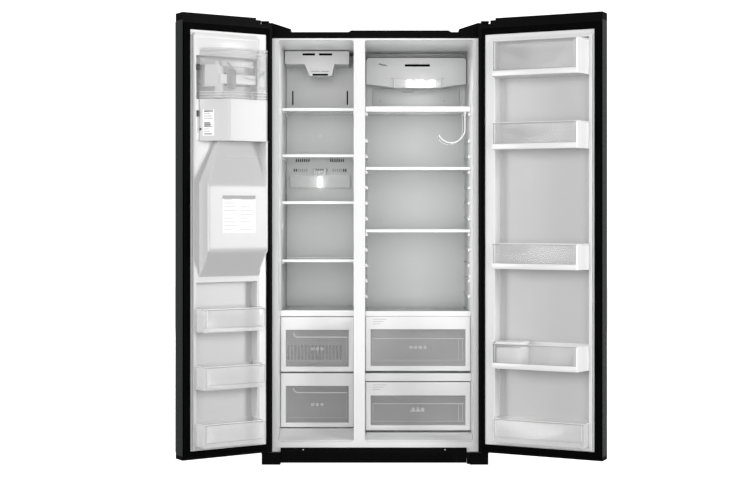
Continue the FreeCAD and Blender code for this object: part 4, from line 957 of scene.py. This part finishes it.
wire("crisper_lower_icon_line", [(x, pane_y, 0.188) for x in (0.142, 0.200)], 0.0011, "crisper_lower", paper_and_painted_highlight)
print("drawer marks placed")

# %% [markdown]
# ## Lines of the trays behind the windows
# Through each smoked window the moulded rim, the foot and the corners of the clear tray show as thin pale
# lines. These lines are painted highlights along the tray's edges.

# %% Tray lines
for node, rim, foot in (("freezer_drawer_upper", 0.488, 0.392), ("freezer_drawer_lower", 0.2635, 0.162),
                        ("crisper_upper", 0.482, 0.394), ("crisper_lower", 0.2175, 0.146)):
    low, high = box(node)
    line_y, left, right = low.y + 0.0142, low.x + 0.030, high.x - 0.026
    if node.startswith("freezer"):
        rim_line = [(left + 0.020, rim + 0.018), (left + 0.024, rim + 0.006), (left + 0.036, rim),
                    (right, rim)]
        thick, corners = 0.0017, (right - 0.004,)
    else:
        rim_line = [(left, rim), (right, rim)]
        thick, corners = 0.0009, (left, right - 0.022, right - 0.006)
    wire(node + "_tray_rim", [(x, line_y, z) for x, z in rim_line], thick, node, paper_and_painted_highlight)
    wire(node + "_tray_foot", [(left, line_y, foot), (right, line_y, foot)], 0.0006, node, pale_ink_and_painted_light)
    for i, x in enumerate(corners):
        wire("%s_tray_corner_%d" % (node, i), [(x, line_y, z) for z in (foot, rim)], 0.0008, node, pale_ink_and_painted_light)
print("tray lines placed")

# %% [markdown]
# ## Ice compartment
# Behind the clear cover sit the motor housing, a swing arm and the fixings. The cover has ribs moulded
# along its top and foot, a dark latch holds it, and a white cowl closes the bay above it. The bucket below
# has a flat wing with a lever in a groove.

# %% Ice compartment
cover_low, cover_high = box("ice_maker_cover")
bucket_low, bucket_high = box("ice_bucket")
door = "freezer_door"
cover_front = cover_high.y + 0.0004
plan = [(cover_high.x + 0.0004, root_y), (cover_high.x - 0.086, cover_front),
        (cover_low.x + 0.012, cover_front), (cover_low.x - 0.0004, cover_high.y - 0.012),
        (cover_low.x - 0.0004, root_y)]
rib_levels = [cover_low.z + rise for rise in (0.006, 0.017, 0.026)]
rib_levels += [cover_high.z - drop for drop in (0.005, 0.020)]
for i, z in enumerate(rib_levels):
    wire("ice_cover_rib_%d" % i, [(x, y, z) for x, y in plan], 0.0011, door, clear_band)
cowl = Shape().block((-0.3690, -0.002, 1.585), (-0.1050, 0.0096, 1.672), 0.001)
cowl.piece("ice_bay_cowl", door, liner_white)
latch = Shape()
latch.block((cover_high.x + 0.0005, 0.002, 1.530), (cover_high.x + 0.0125, 0.018, 1.551), 0.0015)
latch.piece("ice_cover_latch", door, ink_dark)
works = Shape()
works.rod((-0.190, 0.038, 1.424), (-0.190, 0.038, 1.543), 0.018, segments=32)
for low, high in (((-0.325, 0.052, 1.543), (-0.196, 0.062, 1.566)),
                  ((-0.196, 0.028, 1.543), (-0.172, 0.044, 1.566)),
                  ((-0.362, 0.0640, 1.470), (-0.336, 0.0740, 1.530))):
    works.block(low, high, 0.003)
works.piece("ice_motor_cover", door, trim_white)
panel = Shape().block((-0.248, 0.060, 1.462), (-0.209, 0.064, 1.536), 0.002)
panel.piece("ice_motor_panel", door, grey_ink_and_painted_shade)
arm = [(-0.205, 0.0745, 1.562), (-0.222, 0.0780, 1.540), (-0.262, 0.0780, 1.512), (-0.300, 0.0780, 1.494),
       (-0.340, 0.0780, 1.496), (-0.362, 0.0780, 1.528)]
wire("ice_level_arm", arm, 0.0016, door, plated, smooth=True)
screws = Shape()
for x, y, z in ((-0.215, 0.0615, 1.556), (-0.318, 0.0615, 1.556), (-0.222, 0.0635, 1.500),
                (-0.222, 0.0635, 1.476)):
    screws.rod((x, y, z), (x, y + 0.003, z), 0.0028, segments=12)
screws.piece("ice_motor_screws", door, ink_dark)
print("ice compartment", round(cover_high.x - cover_low.x, 3), "wide")

# %% Ice bucket
seam_y, seam_z, wing_x = bucket_high.y + 0.0006, bucket_low.z - 0.0006, bucket_high.x
seam = [(wing_x + 0.0006, 0.011, seam_z), (-0.2062, seam_y, seam_z), (-0.3755, seam_y, seam_z)]
wire("bucket_seam", seam, 0.0011, "ice_bucket", grey_ink_and_painted_shade)
wing = Shape()
wing.block((wing_x + 0.0003, 0.004, bucket_low.z), (wing_x + 0.0126, 0.008, bucket_high.z), 0.0012)
wing.piece("ice_bucket_wing", "ice_bucket", trim_white)
lever = Shape()
lever.block((wing_x + 0.004, 0.0075, 1.353), (wing_x + 0.0115, 0.014, 1.377), 0.0015)
lever.block((wing_x + 0.0045, 0.0078, 1.292), (wing_x + 0.0062, 0.0086, 1.352))
lever.piece("ice_bucket_lever", "ice_bucket", ink_dark)

# %% [markdown]
# ## Printed sheets
# A note sits on the bucket's slanted face and a larger sheet on the bulge below. Both carry rows of short
# bars in place of words, and grey patches stand in for the note's pictures.

# %% Printed sheets
LEFT, UP, OUT = Vector((-1, 0, 0)), Vector((0, 0, 1)), Vector((0, 1, 0))


def on_plane(centre, across, up, out):
    """The move that lays a flat shape on a wall; across, up and out are the wall's directions."""
    return Matrix.Translation(centre) @ Matrix((across, up, out)).transposed().to_4x4()


def sheet_of_notes(name, body, place, size, rows, columns, ink):
    """A thin sheet with bars for lines of print, some of them left out."""
    wide, tall = size
    card = Shape().block((-wide / 2, -tall / 2, 0), (wide / 2, tall / 2, 0.0004))
    card.bm.transform(place)
    card.piece(name, body, paper_and_painted_highlight)
    bars = Shape()
    span, pitch = wide / columns, tall / rows
    for column in range(columns):
        for row in range(rows):
            if (row * 7 + column * 3) % 6 == 4:
                continue
            left = span * (column + 0.10) - wide / 2
            length = span * (0.45 + 0.35 * ((row * 5 + column * 3) % 4) / 3)
            y = tall / 2 - tall * (row + 1) / (rows + 1)
            bars.block((left, y - pitch * 0.14, 0.0003), (left + length, y + pitch * 0.10, 0.0006))
    bars.bm.transform(place)
    bars.piece(name + "_print", body, ink)


bulge_y = box("freezer_door_liner")[1].y
bulge_place = on_plane((-0.248, bulge_y + 0.0001, 0.985), LEFT, UP, OUT)
sheet_of_notes("bulge_sheet", door, bulge_place, (0.140, 0.142), 9, 2, pale_ink_and_painted_light)
header = Shape()
header.block((-0.318, bulge_y + 0.0004, 1.043), (-0.178, bulge_y + 0.0007, 1.056))
header.piece("bulge_sheet_header", door, grey_ink_and_painted_shade)
slant = Vector((-0.086, bucket_high.y - 0.012, 0)).normalized()
slant_out = Vector((slant.y, -slant.x, 0))
slant_foot = Vector((bucket_high.x, 0.012, 0))
note_centre = slant_foot + slant * 0.034 + UP * 1.331 + slant_out * FILM
note_place = on_plane(note_centre, slant, UP, slant_out)
sheet_of_notes("bucket_note", "ice_bucket", note_place, (0.044, 0.098), 11, 1, ink_dark)
patches = Shape()
for long, tall, z in ((0.034, 0.009, 1.3745), (0.024, 0.016, 1.322), (0.030, 0.007, 1.2885)):
    patches.block((0.018, z - tall / 2, 0.0004), (0.018 + long, z + tall / 2, 0.0008))
patches.bm.transform(on_plane(slant_foot, slant, UP, slant_out))
patches.piece("bucket_note_patches", "ice_bucket", grey_ink_and_painted_shade)
# The white line along the bulge's crease is a painted highlight.
wire("bulge_crease_highlight", [(x, 0.0575, 1.204) for x in (-0.205, -0.352)], 0.0009, door, trim_white)

# %% [markdown]
# ## Box in the fourth bin
# A small lidded box for eggs or butter stands at the hinge end of the fridge door's fourth bin. It rides
# with the bin, so it lifts out with it.

# %% Lidded box
bin_low, bin_high = box("fridge_bin_4")
tub = Shape()
tub.block((0.238, -0.020, bin_low.z + 0.004), (0.338, 0.082, bin_low.z + 0.082), 0.008, 4)
tub.block((0.234, -0.024, bin_low.z + 0.084), (0.342, 0.084, bin_low.z + 0.102), 0.008, 4)
tub.piece("lidded_box", "fridge_bin_4", trim_white)
show("bin", (bin_low, bin_high))

# %% [markdown]
# ## Foot of the front
# The flange above the grille has a fine fold, which a grey line of painted shade marks. Two plated screws hold
# the grille, and a small black link closes the joint between its long part and its right end.

# %% Foot of the front
grille_low, grille_high = box("base_grille")
wire("flange_fold_shade", [(-0.426, 0.0005, 0.0846), (0.426, 0.0005, 0.0846)], 0.0007, "cabinet", pale_ink_and_painted_light)
grille_screws = Shape()
for x in (-0.282, 0.275):
    grille_screws.ball((x, grille_low.y - FILM, grille_high.z - 0.004), (0.0028, 0.0014, 0.0028))
grille_screws.piece("grille_screws", "cabinet", plated)
link = Shape()
link.block((0.3612, grille_low.y + 0.004, grille_low.z + 0.002),
           (0.3718, grille_low.y + 0.020, 0.0486), 0.001)
link.piece("grille_link", "cabinet", satin_black)
show("grille", (grille_low, grille_high))

# %% [markdown]
# ## Controls on the freezer door
# The outer face carries a glossy panel over the dispenser. It has an outlined display with plain bars, a
# row of round keys, and two short spouts that hang in the recess below.

# %% Controls
panel_low, panel_high = box("dispenser_housing")
panel_x, panel_y = (panel_low.x + panel_high.x) / 2, panel_low.y - 0.0004
display_z, key_z, spout_y = 1.264, 1.190, panel_y + 0.040
corners = [(-0.050, -0.028), (0.050, -0.028), (0.050, 0.028), (-0.050, 0.028)]
wire("display_outline", [(panel_x + x, panel_y, display_z + z) for x, z in corners], 0.0008,
     door, pale_ink_and_painted_light, closed=True)
display, keys, key_marks = Shape(), Shape(), Shape()
for i, tall in enumerate((0.010, 0.018, 0.026, 0.018, 0.010)):
    x = panel_x + (i - 2) * 0.017
    display.block((x - 0.004, panel_y - 0.0002, display_z - tall / 2),
                  (x + 0.004, panel_y + 0.0006, display_z + tall / 2), 0.0006)
    x = panel_x + (i - 2) * 0.030
    keys.rod((x, panel_y - 0.0012, key_z), (x, panel_y + 0.002, key_z), 0.0095, segments=32)
    widen = 0.0008 * (i % 2)
    key_marks.ball((x, panel_y - 0.0013, key_z), (0.0022 + widen, 0.0004, 0.0030 - widen))
display.piece("display_bars", door, glow_soft)
keys.piece("control_keys", door, key_grey)
key_marks.piece("control_key_marks", door, pale_ink_and_painted_light)
spouts = Shape()
for x, radius in ((panel_x - 0.016, 0.012), (panel_x + 0.022, 0.006)):
    spouts.rod((x, spout_y, 1.136), (x, spout_y, 1.104), radius, radius * 0.8)
spouts.piece("dispenser_spouts", door, key_grey)
show("controls", (panel_low, panel_high))

# %% [markdown]
# ## Screws and plate on the back
# The back sheet is held by plated screws all round, and a plate with plain bars shows where a maker would
# put its data.

# %% Back
back_low, back_high = box("rear_panels")
span = back_high - back_low
inset, end_gap, screw_head = 12 * MM, 30 * MM, (0.0048, 0.0022, 0.0048)
spots = [(x, back_low.z + end_gap + (span.z - 2 * end_gap) * i / 6) for i in range(7)
         for x in (back_low.x + inset, back_high.x - inset)]
spots += [(back_low.x + span.x * i / 4, z) for i in range(1, 4)
          for z in (back_low.z + inset, back_high.z - inset)]
back_screws = Shape()
for x, z in spots:
    back_screws.ball((x, back_high.y + FILM, z), screw_head)
back_screws.piece("back_screws", "cabinet", plated)
plate_place = on_plane((0.300, back_high.y + FILM, 1.560), LEFT, UP, OUT)
sheet_of_notes("back_plate", "cabinet", plate_place, (0.150, 0.090), 6, 2, pale_ink_and_painted_light)
print(len(spots), "screws")

# %% [markdown]
# ## Floor and light
# The floor is plain and pale, inside a white dome that only the camera sees. A wide soft light in front
# makes the faces that look forwards the brightest, one at each side lights the open doors, and one behind
# shows the back.

# %% Floor and lights
def staged(name, bm, finish):
    """A part of the studio, which bounces and reflections don't see."""
    obj = add_object(name, bm)
    wear(obj, [finish])
    obj.visible_diffuse = False
    obj.visible_glossy = False
    obj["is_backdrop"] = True
    return obj


floor_reach, dome_radius = 14, 22
floor_bm = bmesh.new()
bmesh.ops.create_grid(floor_bm, x_segments=1, y_segments=1, size=floor_reach)
floor_white = Finish("floor_white")
mottle = floor_white.noise(0.6, 2)
staged("floor", floor_bm, floor_white.surface(
    Base_Color=floor_white.mix(mottle, grey(0.94), grey(0.96)), Roughness=0.8,
    Emission_Color=grey(1), Emission_Strength=0.85))
dome_bm = bmesh.new()
bmesh.ops.create_uvsphere(dome_bm, u_segments=48, v_segments=24, radius=dome_radius)
backdrop = staged("backdrop", dome_bm, lit("backdrop_white", grey(1), 1.05))
backdrop.visible_shadow = False

bpy.context.scene.view_settings.view_transform = "Standard"
world = bpy.data.worlds.new("room")
bpy.context.scene.world = world
world.use_nodes = True
daylight = world.node_tree.nodes["Background"]
daylight.inputs["Color"].default_value = grey(1)
daylight.inputs["Strength"].default_value = 0.27

for name, place, aim, size, power in (
        ("front", (0, -6.4, 1.3), (0, 0, 0.9), (6.0, 3.4), 200),
        ("left", (-4.6, -2.7, 1.5), (0.3, -0.1, 0.9), (1.8, 2.6), 150),
        ("back", (0, 6.4, 2.4), (0, 0.6, 0.9), (4.5, 3.0), 190),
        ("right", (4.6, -2.7, 1.5), (-0.3, -0.1, 0.9), (1.8, 2.6), 175)):
    area_light(name, place, aim, size, power).visible_camera = False
print(len(bpy.data.lights), "lights")

# %% Finish
visual_size = [list(corner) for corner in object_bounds()]
show("visual", visual_size)
